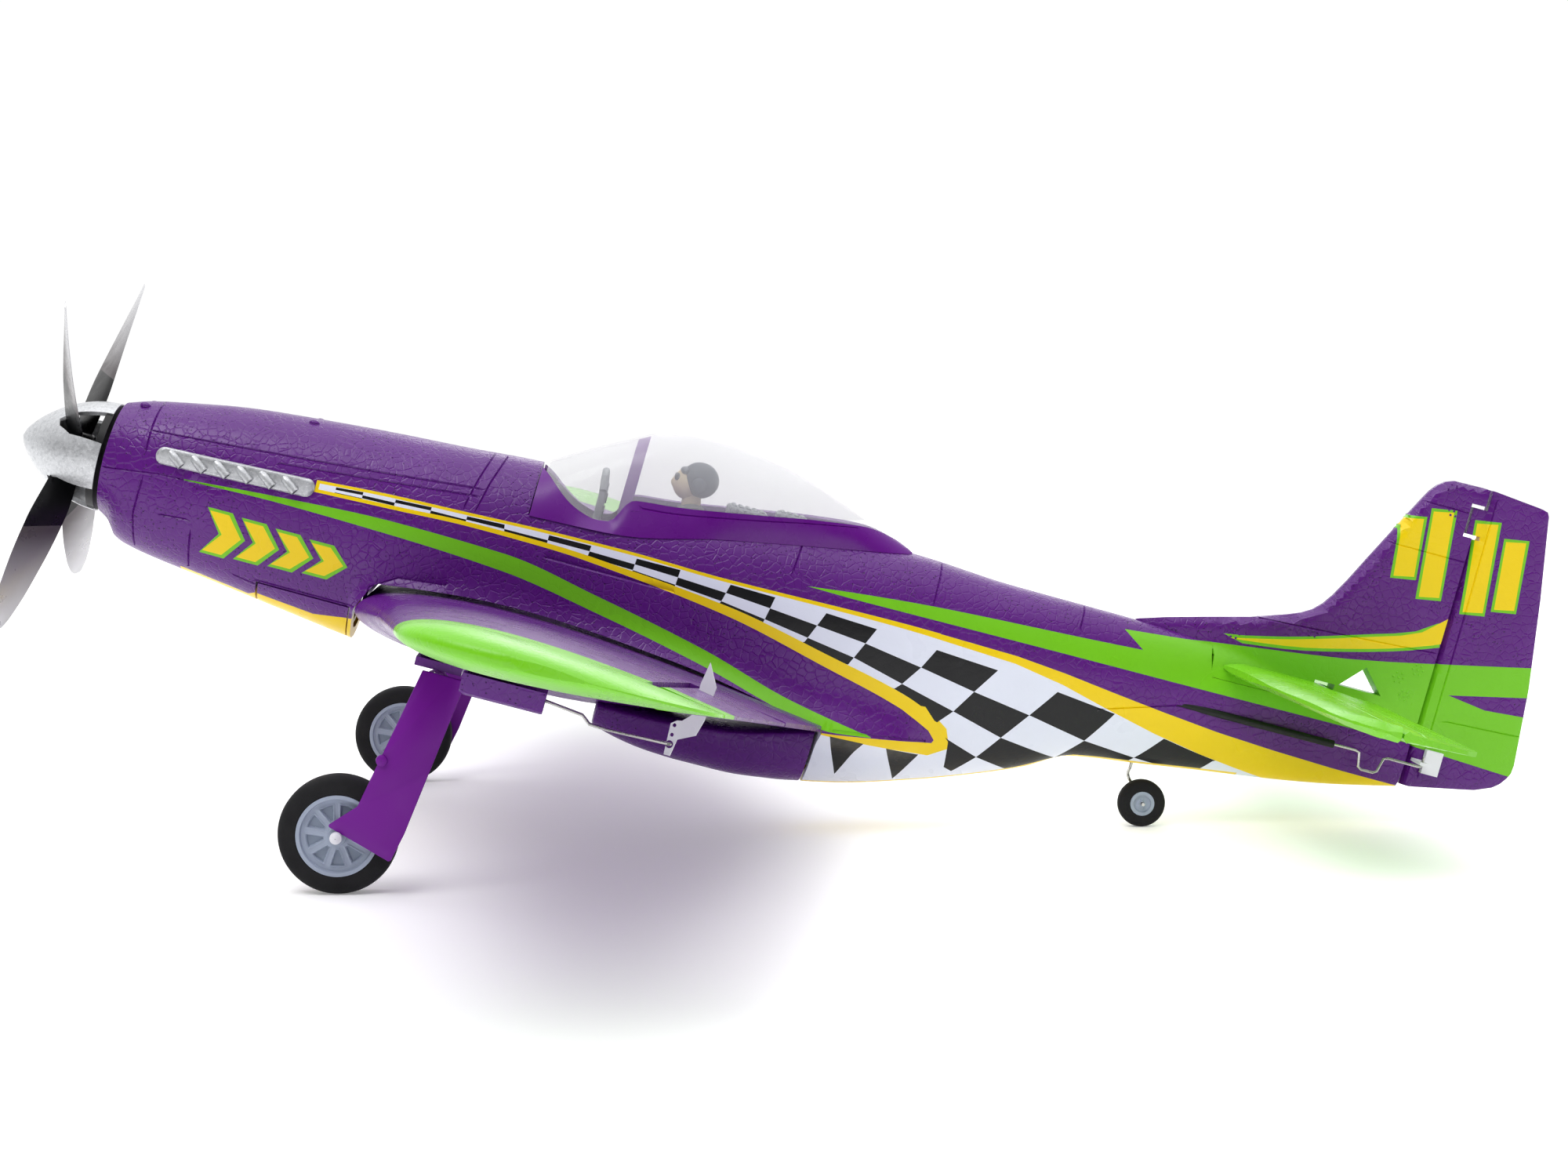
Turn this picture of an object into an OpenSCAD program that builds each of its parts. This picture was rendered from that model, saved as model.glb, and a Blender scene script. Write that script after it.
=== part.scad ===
// A small foam racing warbird for radio control, standing on its three wheels.
// Every piece is drawn level in the aircraft frame: x runs aft from the spinner tip,
// y towards the right wing tip and z up from the thrust line. stand() sets it on the ground.

/* [Stance] */
// Nose-up angle of the thrust line when the aeroplane stands
tilt = 14.8; // [14.6:0.1:15]
// Height of the spinner tip above the ground
tip_height = 112.2; // [111.8:0.1:112.6]
// Distance of the spinner tip ahead of the frame's origin
tip_ahead = 217.5; // [216:0.5:219]

/* [Fuselage] */
// Thickness of the moulded foam shell
foam_wall = 3; // [2.4:0.2:3.4]
// Gap where the two foam halves meet
seam_gap = 0.05; // [0.04:0.01:0.08]
// Points up each half section
side_points = 10; // [8:1:12]

/* [Wing] */
// Half of the wing span
half_span = 246.5; // [246:0.5:247]
// Thickness of the aerofoil as a share of its chord
wing_thickness = 0.13; // [0.12:0.005:0.14]
// Clearance between a control surface and the fixed surface
hinge_gap = 0.5; // [0.4:0.05:0.6]

/* [Propeller and motor] */
// Tip radius of the propeller
prop_radius = 62.5; // [60:0.5:64]
// Turn of the propeller at rest, from straight up towards the right wing
prop_turn = 38; // [0:1:89]
// Radius of the spinner where it meets the nose
spinner_r = 15.4; // [15:0.1:15.6]
// Length of the spinner
spinner_len = 24.5; // [24:0.5:25]
// Radius of the motor shaft
shaft_r = 1; // [0.75:0.25:1.25]

/* [Wheels] */
// Distance between the main wheels
track = 158; // [150:1:165]
// Radius of a main tyre
main_r = 15.2; // [15:0.1:15.4]
// Width of a main tyre
main_w = 8; // [7:0.5:9]
// Main axle, distance ahead of the frame's origin
main_ahead = 120.9; // [120:0.1:122]
// Radius of the tail tyre
tail_r = 6.9; // [6.7:0.1:7.1]
// Tail axle, distance behind the frame's origin
tail_behind = 100.1; // [99.5:0.1:100.5]
// Radius of the gear wire
wire_r = 0.75; // [0.6:0.05:0.8]
// Running clearance of a wheel on its axle
axle_fit = 0.06; // [0.03:0.01:0.09]

/* [Controls] */
// Distance of an aileron horn's hole below its hinge
aileron_horn_r = 11.5; // [11:0.5:12]
// Distance of a tail horn's hole from its hinge
tail_horn_r = 9; // [8:0.5:10]
// Radius of a control rod
rod_r = 0.4; // [0.35:0.05:0.45]

/* [Hidden] */
$fn = 48;

purple = [0.27, 0.09, 0.42];
bright_purple = [0.42, 0.07, 0.55];
green = [0.36, 0.76, 0.13];
hub_grey = [0.64, 0.67, 0.74];

eps = 0.01;
cos_t = cos(tilt);
sin_t = sin(tilt);

// A point of the ground frame, given from the aircraft frame, and the way back
function to_ground(p) = [-tip_ahead + p.x * cos_t + p.z * sin_t, p.y,
    tip_height - p.x * sin_t + p.z * cos_t];
function to_air(p) = let (dx = p.x + tip_ahead, dz = p.z - tip_height)
    [dx * cos_t - dz * sin_t, p.y, dx * sin_t + dz * cos_t];

module stand() {
    translate([-tip_ahead, 0, tip_height]) rotate([0, tilt, 0]) children();
}

module pair_at(side) {
    if (side > 0) children(); else mirror([0, 1, 0]) children();
}

// A solid skinned over equal rings; in each ring, point i faces point n-1-i.
// Rings that turn the other way about the direction of travel are marked turned.
module loft(rings, turned = false) {
    n = len(rings[0]);
    m = len(rings);
    sides = [for (j = [0:m - 2], i = [0:n - 1])
        let (a = j * n + i, b = j * n + (i + 1) % n, c = b + n, d = a + n)
        each [[a, b, c], [a, c, d]]];
    cap = [for (i = [0:n / 2 - 2]) each [[i, n - 1 - i, n - 2 - i], [i, n - 2 - i, i + 1]]];
    last = (m - 1) * n;
    far_cap = [for (f = cap) [f[2] + last, f[1] + last, f[0] + last]];
    all = concat(sides, cap, far_cap);
    polyhedron([for (r = rings) each r],
        turned ? all : [for (f = all) [f[2], f[1], f[0]]], convexity = 8);
}

// A round rod between two points
module rod(a, b, r) {
    v = b - a;
    long = norm(v);
    translate(a) rotate([0, acos(v.z / long), atan2(v.y, v.x)]) cylinder(h = long, r = r);
}

// Rods joined by balls through a list of points
module wire(points, r) {
    for (i = [0:len(points) - 2]) rod(points[i], points[i + 1], r);
    for (i = [1:1:len(points) - 2]) translate(points[i]) sphere(r = 1.15 * r);
}

// A thin bent wire skinned as one solid through a list of points
wire_sides = 8;
function unit(v) = v / norm(v);
function bend_way(p, i) = let (n = len(p) - 1)
    unit((i > 0 ? unit(p[i] - p[i - 1]) : [0, 0, 0]) + (i < n ? unit(p[i + 1] - p[i]) : [0, 0, 0]));
module thin_wire(points, r) {
    loft([for (i = [0:len(points) - 1]) let (t = bend_way(points, i),
        u = unit(cross(t, [0.36, 0.48, 0.8])), v = cross(t, u))
        [for (k = [0:wire_sides - 1]) let (a = 360 * (k + 0.5) / wire_sides)
            points[i] + r * (cos(a) * u + sin(a) * v)]]);
}

// ---- Fuselage -------------------------------------------------------------
// Each table pairs a station x with a value there
top_line = [[26, 16.8], [32, 18.8], [45, 21.6], [60, 24.2], [80, 26.2], [100, 27.8], [120, 29],
    [142, 30.6], [160, 31], [250, 32.4], [280, 30.9], [312, 30.6], [345, 29.5]];
keel_line = [[26, -14.6], [32, -21.7], [45, -23.6], [60, -25.6], [80, -28.4], [100, -31.2],
    [120, -33.5], [160, -36], [200, -42.2], [212, -42.2], [228, -40.5], [246, -37.1],
    [265, -31.5], [284, -24.7], [297, -19.2], [309, -12.8], [330, -9.7], [346, -7.4],
    [369, -4.3], [385, -1.6], [406, 3]];
half_width = [[26, 15.6], [32, 17], [45, 18.6], [60, 19.4], [80, 20], [120, 20.6], [180, 20.2],
    [210, 19.2], [240, 17.4], [270, 15], [300, 12.4], [330, 9.8], [350, 8], [370, 5.8],
    [390, 4.4], [406, 3.4]];
waist_line = [[26, 0.5], [45, -1], [100, -1.5], [200, 0], [250, 3], [300, 8], [350, 9], [406, 11]];
// Bulge of the wing fillet out of the side, and the height where it is widest
fillet_out = [[100, 0], [106, 5], [125, 8], [200, 8], [235, 7], [258, 4], [268, 0]];
fillet_z = [[100, -22], [125, -17], [180, -17], [235, -21], [268, -19.5]];

hatch_x = [74, 101];
hatch_z = -21;
saddle_x = [102, 236];
cockpit_x = [142, 250];
seat_x = 341;
seat_z = 20.5;
sill_line = [[142, 16.5], [167, 17.8], [195, 23.5], [221, 27.9], [250, 32.3]];
saddle_line = [[102, -21], [107, -11.5], [145, -7.6], [190, -10.6], [236, -19]];

function top_z(x) = x > seat_x ? seat_z : lookup(x, top_line);
function keel_z(x) = lookup(x, keel_line);
function section_power(x) = lookup(x, [[26, 2], [45, 2.3], [240, 2.3], [300, 2.2], [406, 2.2]]);

// Point of a superellipse section at the given height
function side_y(x, z, inset = 0) =
    let (zm = lookup(x, waist_line), p = section_power(x), w = lookup(x, half_width) - inset,
        reach = z > zm ? lookup(x, top_line) - inset - zm : zm - keel_z(x) - inset,
        k = min(1, abs(z - zm) / reach))
    w * pow(max(0, 1 - pow(k, p)), 1 / p);
function fillet_y(x, z) = let (f = lookup(x, fillet_out), c = lookup(x, fillet_z), d = z - c)
    f * exp(-pow(d / (d > 0 ? 6 : 3.5), 2));

// Heights from the keel to the top, closer together near both ends
function spread(lo, hi, n, lo_round, hi_round) = [for (i = [0:n - 1])
    let (t = i / (n - 1), s = (1 - cos(180 * t)) / 2,
        u = lo_round && hi_round ? s : lo_round ? 1 - cos(90 * t) : hi_round ? sin(90 * t) : t)
    lo + (hi - lo) * u];

function wall_at(x) = min(foam_wall, lookup(x, half_width) - 2);
// One half section between two heights: the outside upwards, then the inside downwards
function shell_ring(x, lo, hi) =
    let (open_lo = lo > keel_z(x) + eps, open_hi = hi < lookup(x, top_line) - eps,
        w = wall_at(x), lo_in = open_lo ? lo : lo + w, hi_in = open_hi ? hi : hi - w,
        outer = spread(lo, hi, side_points, !open_lo, !open_hi),
        inner = spread(lo_in, hi_in, side_points, !open_lo, !open_hi))
    concat([for (z = outer) [x, seam_gap + side_y(x, z) + fillet_y(x, z), z]],
        [for (i = [side_points - 1:-1:0]) [x, seam_gap + side_y(x, inner[i], w), inner[i]]]);

function shell_lo(x) = x > hatch_x[0] && x < hatch_x[1] ? hatch_z
    : x > saddle_x[0] && x < saddle_x[1] ? lookup(x, saddle_line) : keel_z(x);
function shell_hi(x) = x > cockpit_x[0] && x < cockpit_x[1] ? lookup(x, sill_line) : top_z(x);

step = 0.2;
shell_stations = concat([26, 29, 32, 38, 45, 52, 60, 67], [hatch_x[0], hatch_x[0] + step, hatch_x[1] - step, hatch_x[1]],
    [saddle_x[0] - step, saddle_x[0] + step, 107, 113, 120, 130], [cockpit_x[0], cockpit_x[0] + step],
    [155, 167, 180, 195, 208, 221], [saddle_x[1] - step, saddle_x[1] + step],
    [243, cockpit_x[1] - step, cockpit_x[1], 259, 268, 277, 288, 300, 309, 320, 330],
    [seat_x, seat_x + step], [352, 364, 376, 390, 404.8]);

// A square channel lets a tail rod and its tube through the side, and a slot takes the tail bush
module fuselage_half(rod_z) {
    difference() {
        loft([for (x = shell_stations) shell_ring(x, shell_lo(x), shell_hi(x))]);
        translate([rod_start_x - 10, tail_rod_y - 1.2, rod_z - 1.2]) cube([220, 2.4, 2.4]);
        translate([steer_x - 1.9, -1, -14]) cube([3.8, 2.9, 16]);
    }
}

module fuselage_left() {
    color(purple) stand() pair_at(-1) fuselage_half(rudder_rod_z);
}

module fuselage_right() {
    color(purple) stand() fuselage_half(elevator_rod_z);
}

module firewall() {
    color("burlywood") stand() translate([49, 0, 0.5]) rotate([0, 90, 0]) difference() {
        cylinder(h = 2.4, r = 15.2);
        translate([0, 0, -1]) cylinder(h = 5, r = 3.2);
    }
}

// ---- Tail -----------------------------------------------------------------
rudder_x = 408;
fin_base_z = 26.9;
fin_outline = [[313, fin_base_z], [318, 30.9], [337, 36.4], [360, 43.2], [367, 46.6], [371.5, 52],
    [378.5, 65.4], [389, 85.9], [392, 90.4], [396.5, 92.9], [405, 93.1]];

// Fin seen from the side: the notch takes the rudder's balance block
module fin_side() {
    difference() {
        polygon(concat(fin_outline, [[406.8, 92.9], [406.8, 88], [402.6, 88], [402.6, 78.2],
            [405.4, 78.2], [405.4, fin_base_z]]));
        polygon([[378.8, 27], [392.6, 27], [386, 34.6]]);
    }
}

module fin() {
    color(purple) stand() intersection() {
        translate([0, 4, 0]) rotate([90, 0, 0]) linear_extrude(8) fin_side();
        translate([0, 0, 20]) linear_extrude(80) polygon([[312, -0.6], [330, -1.8], [365, -3.2],
            [385, -3.4], [407, -2.6], [407, 2.6], [385, 3.4], [365, 3.2], [330, 1.8], [312, 0.6]]);
    }
}

rudder_nose = 2.4;
module rudder_side() {
    polygon([[rudder_x, 93], [426, 91.3], [431, 66], [435.3, 40], [437.6, 17.5], [436.5, 13.2],
        [433, 9.6], [428, 7.6], [423, 6.6], [409.5, 4], [rudder_x, 4]]);
}

module rudder() {
    color(green) stand() union() {
        intersection() {
            translate([0, 4, 0]) rotate([90, 0, 0]) linear_extrude(8) rudder_side();
            linear_extrude(100) polygon([[rudder_x, -rudder_nose], [438, -0.6], [438, 0.6],
                [rudder_x, rudder_nose]]);
        }
        translate([rudder_x, 0, 4]) cylinder(h = 74, r = rudder_nose);
        translate([rudder_x - 4.2, -1.6, 79.2]) cube([5, 3.2, 7.8]);
    }
}

// The rudder's horn stands out of its left side, low down
rudder_horn_z = 10.8;
module rudder_horn() {
    color("white") stand() translate([rudder_x, 0, rudder_horn_z]) difference() {
        union() {
            translate([-1.4, -tail_horn_r - 1.9, 0.7]) cube([2.8, tail_horn_r - rudder_nose + 2, 0.9]);
            translate([2, -4.2, -2]) cube([5, 2.2, 7]);
            translate([-1.4, -4.2, 0.7]) cube([4.5, 1.8, 0.9]);
        }
        translate([0, -tail_horn_r, -1]) cylinder(h = 4, r = 1);
    }
}

stab_x = [344.6, 372.6];
stab_half = 87;
stab_z = 24.2;
elevator_x = 374.8;
elevator_nose = 1.7;

// Right half of the fixed tailplane's outline, and of the elevator's behind it
function both_halves(p) = concat(p, [for (i = [len(p) - 1:-1:0]) [p[i].x, -p[i].y]]);
stab_outline = [[stab_x[0], 6], [357, 78], [360, 83.5], [364.5, 86.3], [369, stab_half],
    [stab_x[1], stab_half]];
elevator_outline = [[elevator_x, 7.2], [390.4, 7.2], [391.2, 10], [394.4, 80], [393.6, 84.5],
    [390, stab_half], [elevator_x, stab_half]];

module stabilizer() {
    color(green) stand() intersection() {
        translate([0, 0, 15]) linear_extrude(20) polygon(both_halves(stab_outline));
        translate([0, 100, 0]) rotate([90, 0, 0]) linear_extrude(200) polygon([[344, 23.6], [350, 22.4],
            [360, 22], [stab_x[1], 22.4], [stab_x[1], 26], [360, 26.4], [350, 26], [344, 24.8]]);
    }
}

module elevator() {
    color(green) stand() union() {
        intersection() {
            translate([0, 0, 15]) linear_extrude(20) for (s = [0, 1]) mirror([0, s, 0])
                polygon(elevator_outline);
            translate([0, 100, 0]) rotate([90, 0, 0]) linear_extrude(200) polygon([
                [elevator_x, stab_z - elevator_nose], [395, stab_z - 0.5], [395, stab_z + 0.5],
                [elevator_x, stab_z + elevator_nose]]);
        }
        translate([elevator_x, -stab_half, stab_z]) rotate([-90, 0, 0])
            cylinder(h = 2 * stab_half, r = elevator_nose);
    }
}

// The elevator's horn hangs below its right half, beside the tail cone
elevator_horn_y = 9.6;
module elevator_horn() {
    color("white") stand() translate([elevator_x, elevator_horn_y, stab_z]) difference() {
        union() {
            translate([-1.3, 0, -tail_horn_r - 1.8]) cube([2.6, 0.9, tail_horn_r + 0.5]);
            translate([-1.2, -1.2, -elevator_nose - 1]) cube([7.6, 3.2, 0.9]);
        }
        translate([0, -1, -tail_horn_r]) rotate([-90, 0, 0]) cylinder(h = 3, r = 1);
    }
}

// Each tail rod runs straight through its tube, then bends to reach the horn
rod_start_x = 217;
tail_rod_y = 8.2;
rudder_rod_z = rudder_horn_z;
rudder_rod_y = -tail_rod_y;
elevator_rod_z = stab_z - tail_horn_r + 0.2;
elevator_rod_y = tail_rod_y;

module rudder_rod() {
    color("silver") stand() thin_wire([[rod_start_x, rudder_rod_y, rudder_rod_z],
        [389, rudder_rod_y, rudder_rod_z], [390.5, rudder_rod_y, rudder_rod_z - 5],
        [395.5, rudder_rod_y, rudder_rod_z - 5], [397, rudder_rod_y, rudder_rod_z],
        [rudder_x, -tail_horn_r + 0.4, rudder_rod_z], [rudder_x, -tail_horn_r + 0.4, rudder_rod_z + 3]],
        rod_r);
}

module elevator_rod() {
    color("silver") stand() thin_wire([[rod_start_x, elevator_rod_y, elevator_rod_z],
        [361, elevator_rod_y, elevator_rod_z], [362.5, elevator_rod_y, elevator_rod_z - 4],
        [366.5, elevator_rod_y, elevator_rod_z - 4], [368, elevator_rod_y, elevator_rod_z],
        [elevator_x, elevator_rod_y, elevator_rod_z],
        [elevator_x, elevator_horn_y + 2, elevator_rod_z]], rod_r);
}

module tube(from_x, to_x, y, z) {
    translate([from_x, y, z]) rotate([0, 90, 0]) difference() {
        cylinder(h = to_x - from_x, r = 1.1);
        translate([0, 0, -1]) cylinder(h = to_x - from_x + 2, r = rod_r + 0.3);
    }
}

module guide_tubes() {
    color("black") stand() {
        tube(232, 381.4, rudder_rod_y, rudder_rod_z);
        tube(232, 352, elevator_rod_y, elevator_rod_z);
    }
}

// Two small linear servos lie side by side behind the cockpit
module tail_servos() {
    color("darkslategray") stand() for (s = [-1, 1])
        translate([186, s * 7.5 - 4, 2]) cube([20, 8, 6]);
}

// ---- Wing -----------------------------------------------------------------
lead_line = [[0, 103], [24, 103], [58, 113], [243, 132], [250, 132.7]];
trail_line = [[0, 235.4], [24, 235.4], [243, 191], [250, 189.6]];
tip_start = 230;
aileron_y = [116, 222];
aileron_share = 0.76;

function tip_pull(y) = let (s = max(0, (y - tip_start) / (half_span - tip_start)))
    1 - sqrt(max(0, 1 - s * s));
function lead_x(y) = lookup(y, lead_line) + 24 * tip_pull(y);
function trail_x(y) = lookup(y, trail_line) - 26 * tip_pull(y);
function chord_z(y) = lookup(y, [[0, -20.3], [24, -20.3], [243, 7.2], [250, 8.1]]);
function root_blend(y) = max(0, 1 - y / 24);
// Half thickness of a classic four-digit section at share c of the chord
function thick(c) = 5 * wing_thickness * (0.2969 * sqrt(c) - 0.126 * c - 0.3516 * c * c
    + 0.2843 * pow(c, 3) - 0.1 * pow(c, 4)) + 0.003 * c;
function wing_upper(y, c) = let (l = trail_x(y) - lead_x(y)) chord_z(y) + 1.12 * thick(c) * l;
function wing_lower(y, c) = let (l = trail_x(y) - lead_x(y)) chord_z(y) - 0.88 * thick(c) * l
    - 6 * root_blend(y) * sin(180 * min(1, c * 1.1 + 0.02));

wing_points = 9;
function chord_share(i, cut) = let (t = i / (wing_points - 1)) cut * (1 - cos(90 * t));
function wing_ring(y, cut) = let (s = sign(y) == 0 ? 1 : sign(y), a = abs(y), x0 = lead_x(a),
    l = trail_x(a) - x0)
    concat([for (i = [0:wing_points - 1]) let (c = chord_share(i, cut))
        [x0 + c * l, y, wing_upper(a, c) + (i == 0 ? 0.15 : 0)]],
        [for (i = [wing_points - 1:-1:0]) let (c = chord_share(i, cut))
        [x0 + c * l, y, wing_lower(a, c) - (i == 0 ? 0.15 : 0)]]);

aileron_cut = aileron_share - 0.012;
half_stations = [24, 34, 46, 58, 80, 100, aileron_y[0] - 1.6, aileron_y[0] - 1.4, 140, 165, 190,
    aileron_y[1] + 1.4, aileron_y[1] + 1.6, tip_start, 236, 241, 244.5, 246.2];
function cut_at(a) = a > aileron_y[0] - 1.5 && a < aileron_y[1] + 1.5 ? aileron_cut : 1;

module wing() {
    stations = concat([for (i = [len(half_stations) - 1:-1:0]) -half_stations[i]], [-12, 0, 12],
        half_stations);
    color(purple) stand() loft([for (y = stations) wing_ring(y, cut_at(abs(y)))]);
}

function hinge_x(y) = lead_x(y) + aileron_share * (trail_x(y) - lead_x(y)) + aileron_nose(y) + hinge_gap;
function hinge_z(y) = (wing_upper(y, aileron_share) + wing_lower(y, aileron_share)) / 2;
function aileron_nose(y) = (wing_upper(y, aileron_share) - wing_lower(y, aileron_share)) / 2 - 0.1;
nose_points = 5;
function aileron_ring(y) = let (hx = hinge_x(y), hz = hinge_z(y), r = aileron_nose(y), tx = trail_x(y),
    tz = chord_z(y))
    concat([for (i = [0:nose_points]) let (a = 180 - 90 * i / nose_points)
        [hx + r * cos(a), y, hz + r * sin(a)]], [[tx, y, tz + 0.35], [tx, y, tz - 0.35]],
        [for (i = [nose_points:-1:0]) let (a = 180 + 90 * i / nose_points)
        [hx + r * cos(a), y, hz + r * sin(a) - (i == 0 ? 0.02 : 0)]]);

module aileron() {
    loft([for (y = [aileron_y[0], 135, 155, 180, 205, aileron_y[1]]) aileron_ring(y)]);
}

module aileron_left() {
    color(purple) stand() pair_at(-1) aileron();
}

module aileron_right() {
    color(purple) stand() aileron();
}

horn_y = 150;
// The aileron hinge sweeps and rises outwards, and the horn stands square to it
hinge_run = let (a = aileron_y[0], b = aileron_y[1])
    [hinge_x(b) - hinge_x(a), b - a, hinge_z(b) - hinge_z(a)];
hinge_way = hinge_run / norm(hinge_run);
hinge_turn = [asin(hinge_way.z), 0, atan2(-hinge_way.x, hinge_way.y)];
horn_foot = [hinge_x(horn_y), horn_y, hinge_z(horn_y)];

// Flat horn: a spike through the aileron, a shank and a row of holes
module aileron_horn() {
    translate(horn_foot) rotate(hinge_turn) translate([0, -0.6, 0]) difference() {
        rotate([-90, 0, 0]) linear_extrude(1.2) difference() {
            polygon([[1.4, -9.4], [4.2, -4.4], [3.6, 3.4], [2.6, 7.2], [-1.2, 9.2], [-1.8, aileron_horn_r + 1.6],
                [-3.2, aileron_horn_r + 1.6], [-3.5, 6], [-2.3, 5], [-1.2, 4.8], [0.5, 3], [0.6, -4.4]]);
            for (k = [0:2]) translate([-2.6, aileron_horn_r - 2.2 * k - 0.9]) circle(r = k == 0 ? 0.9 : 0.45);
        }
    }
}

module aileron_horn_left() {
    color("white") stand() pair_at(-1) aileron_horn();
}

module aileron_horn_right() {
    color("white") stand() aileron_horn();
}

// The rod leaves the servo fairing, kinks where it is adjusted and hooks into the horn
hole_in = [-2.6, 0.9 - aileron_horn_r];
function horn_hole() = let (t = hinge_turn.x, p = hinge_turn.z, v = -hole_in.y * sin(t))
    horn_foot + [hole_in.x * cos(p) - v * sin(p), hole_in.x * sin(p) + v * cos(p), hole_in.y * cos(t)];
servo_x = 141.5;
servo_long = 19;
function servo_z() = wing_lower(horn_y, 0.3);
function rod_front() = [servo_x + servo_long - 3.2, horn_y - 2.2, servo_z() - 2.7];

module aileron_rod() {
    h = horn_hole();
    s = rod_front();
    thin_wire([s, [s.x + 12, s.y, s.z - 1.4], [s.x + 14, s.y, s.z - 3], [s.x + 18, s.y, s.z - 3.2],
        h - 2.4 * hinge_way, h + 1.6 * hinge_way], rod_r);
}

module aileron_rod_left() {
    color("silver") stand() pair_at(-1) aileron_rod();
}

module aileron_rod_right() {
    color("silver") stand() aileron_rod();
}

module servo_carriage() {
    s = rod_front();
    translate([s.x - 4.6, horn_y - 3.4, s.z - 1.1]) cube([4, 2.4, 2.2]);
}

module servo_carriage_left() {
    color("white") stand() pair_at(-1) servo_carriage();
}

module servo_carriage_right() {
    color("white") stand() servo_carriage();
}

// Open-ended cover over the linear servo under the wing
module servo_fairing() {
    translate([servo_x, horn_y - 6, servo_z() - 5.4]) difference() {
        rotate([90, 0, 90]) linear_extrude(servo_long) polygon([[0, 5], [1.2, 0.6], [2.4, 0], [9.6, 0],
            [10.8, 0.6], [12, 5]]);
        translate([1.2, 1.6, 0.8]) cube([servo_long, 8.8, 5]);
    }
}

module servo_fairing_left() {
    color(purple) stand() pair_at(-1) servo_fairing();
}

module servo_fairing_right() {
    color(purple) stand() servo_fairing();
}

// Radiator scoop under the wing, with an open mouth at its front
scoop_width = [[174, 9.5], [190, 12.5], [236, 14.6]];
scoop_top = [[174, -32], [190, -31.5], [210, -29.5], [236, -23]];
scoop_floor = [[174, -38.4], [180, -40], [190, -41.6], [200, -42.2], [212, -42.2], [228, -40.5],
    [236, -39]];
function scoop_ring(x, inset) = let (w = lookup(x, scoop_width) - inset, t = lookup(x, scoop_top) - inset,
    b = lookup(x, scoop_floor) + inset, m = 7)
    concat([for (i = [0:m]) let (a = 180 * i / m) [x, w * cos(a), t + 0 * a]],
        [for (i = [0:m]) let (a = 180 + 180 * i / m) [x, w * cos(a), t + (t - b) * sin(a) - 0.02]]);

module belly_scoop() {
    color(purple) stand() difference() {
        loft([for (x = [174, 180, 190, 200, 212, 224, 235.8]) scoop_ring(x, 0)]);
        loft([for (x = [170, 182]) scoop_ring(x, 1.4)]);
    }
}

// ---- Nose -----------------------------------------------------------------
prop_z = 0.5;
prop_x = 15;
module on_shaft(x) {
    translate([x, 0, prop_z]) rotate([0, 90, 0]) children();
}

module motor_stator() {
    color("dimgray") stand() on_shaft(38) difference() {
        union() {
            cylinder(h = 9, r = 8);
            translate([0, 0, 9]) cylinder(h = 2, r = 10);
        }
        translate([0, 0, -1]) cylinder(h = 13, r = 2.6);
    }
}

module motor_bell() {
    color("silver") stand() on_shaft(35) difference() {
        cylinder(h = 11.4, r = 9.4);
        translate([0, 0, 1.4]) cylinder(h = 11, r = 8.4);
        translate([0, 0, -1]) cylinder(h = 4, r = shaft_r);
    }
}

module prop_shaft() {
    color("silver") stand() on_shaft(9) cylinder(h = 44, r = shaft_r);
}

module spinner_backplate() {
    color("black") stand() on_shaft(22.6) difference() {
        cylinder(h = 2, r = spinner_r - 0.4);
        translate([0, 0, -1]) cylinder(h = 4, r = shaft_r);
    }
}

// Spinner profile: a blunt ogive
function ogive(t) = spinner_r * pow(sin(90 * pow(t, 0.94)), 0.72);
module spinner() {
    wall = 1.1;
    steps = 12;
    color("silver") stand() difference() {
        rotate([0, 90, 0]) translate([-prop_z, 0, 0]) rotate_extrude() polygon(concat(
            [for (i = [0:steps]) [ogive(i / steps), spinner_len * i / steps]],
            [[spinner_r - wall, spinner_len]],
            [for (i = [steps - 1:-1:1]) [max(0.01, ogive(i / steps) - wall - 0.4),
                spinner_len * i / steps + 0.4]], [[0, spinner_len / steps + 0.4]]));
        for (k = [0:3]) translate([prop_x - 4.6, 0, prop_z]) rotate([90 * k - prop_turn, 0, 0])
            translate([0, -4.4, 6]) cube([20, 8.8, 12]);
    }
}

// One blade along +z: share t runs from root to tip
blade_chord = [[0, 6], [0.15, 8.4], [0.35, 11.6], [0.55, 12.6], [0.75, 11.4], [0.9, 8.4], [0.97, 5.2],
    [1, 2]];
blade_twist = [[0, 62], [0.3, 42], [0.6, 29], [1, 20]];
blade_root = 3.6;
function blade_ring(t) = let (r = blade_root + t * (prop_radius - blade_root),
    c = lookup(t, blade_chord), a = lookup(t, blade_twist), h = lookup(t, [[0, 1.1], [0.3, 0.65], [1, 0.3]]),
    sweep = 2.4 * t * t, section = [[-0.5, 0.1], [-0.25, 0.8], [0.1, 1], [0.5, 0.15], [0.5, -0.15],
        [0.1, -0.6], [-0.25, -0.6], [-0.5, -0.1]])
    [for (q = section) let (u = q[0] * c + sweep, v = q[1] * h)
        [-v * cos(a) - u * sin(a), u * cos(a) - v * sin(a), r]];

module propeller() {
    color([0.1, 0.1, 0.11]) stand() translate([prop_x, 0, prop_z]) difference() {
        union() {
            translate([-3.2, 0, 0]) rotate([0, 90, 0]) cylinder(h = 7.4, r = 5);
            for (k = [0:3]) rotate([90 * k - prop_turn, 0, 0])
                loft([for (t = [0, 0.08, 0.18, 0.3, 0.42, 0.55, 0.68, 0.8, 0.9, 0.96, 1]) blade_ring(t)], true);
        }
        translate([-5, 0, 0]) rotate([0, 90, 0]) cylinder(h = 12, r = shaft_r);
    }
}

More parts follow.
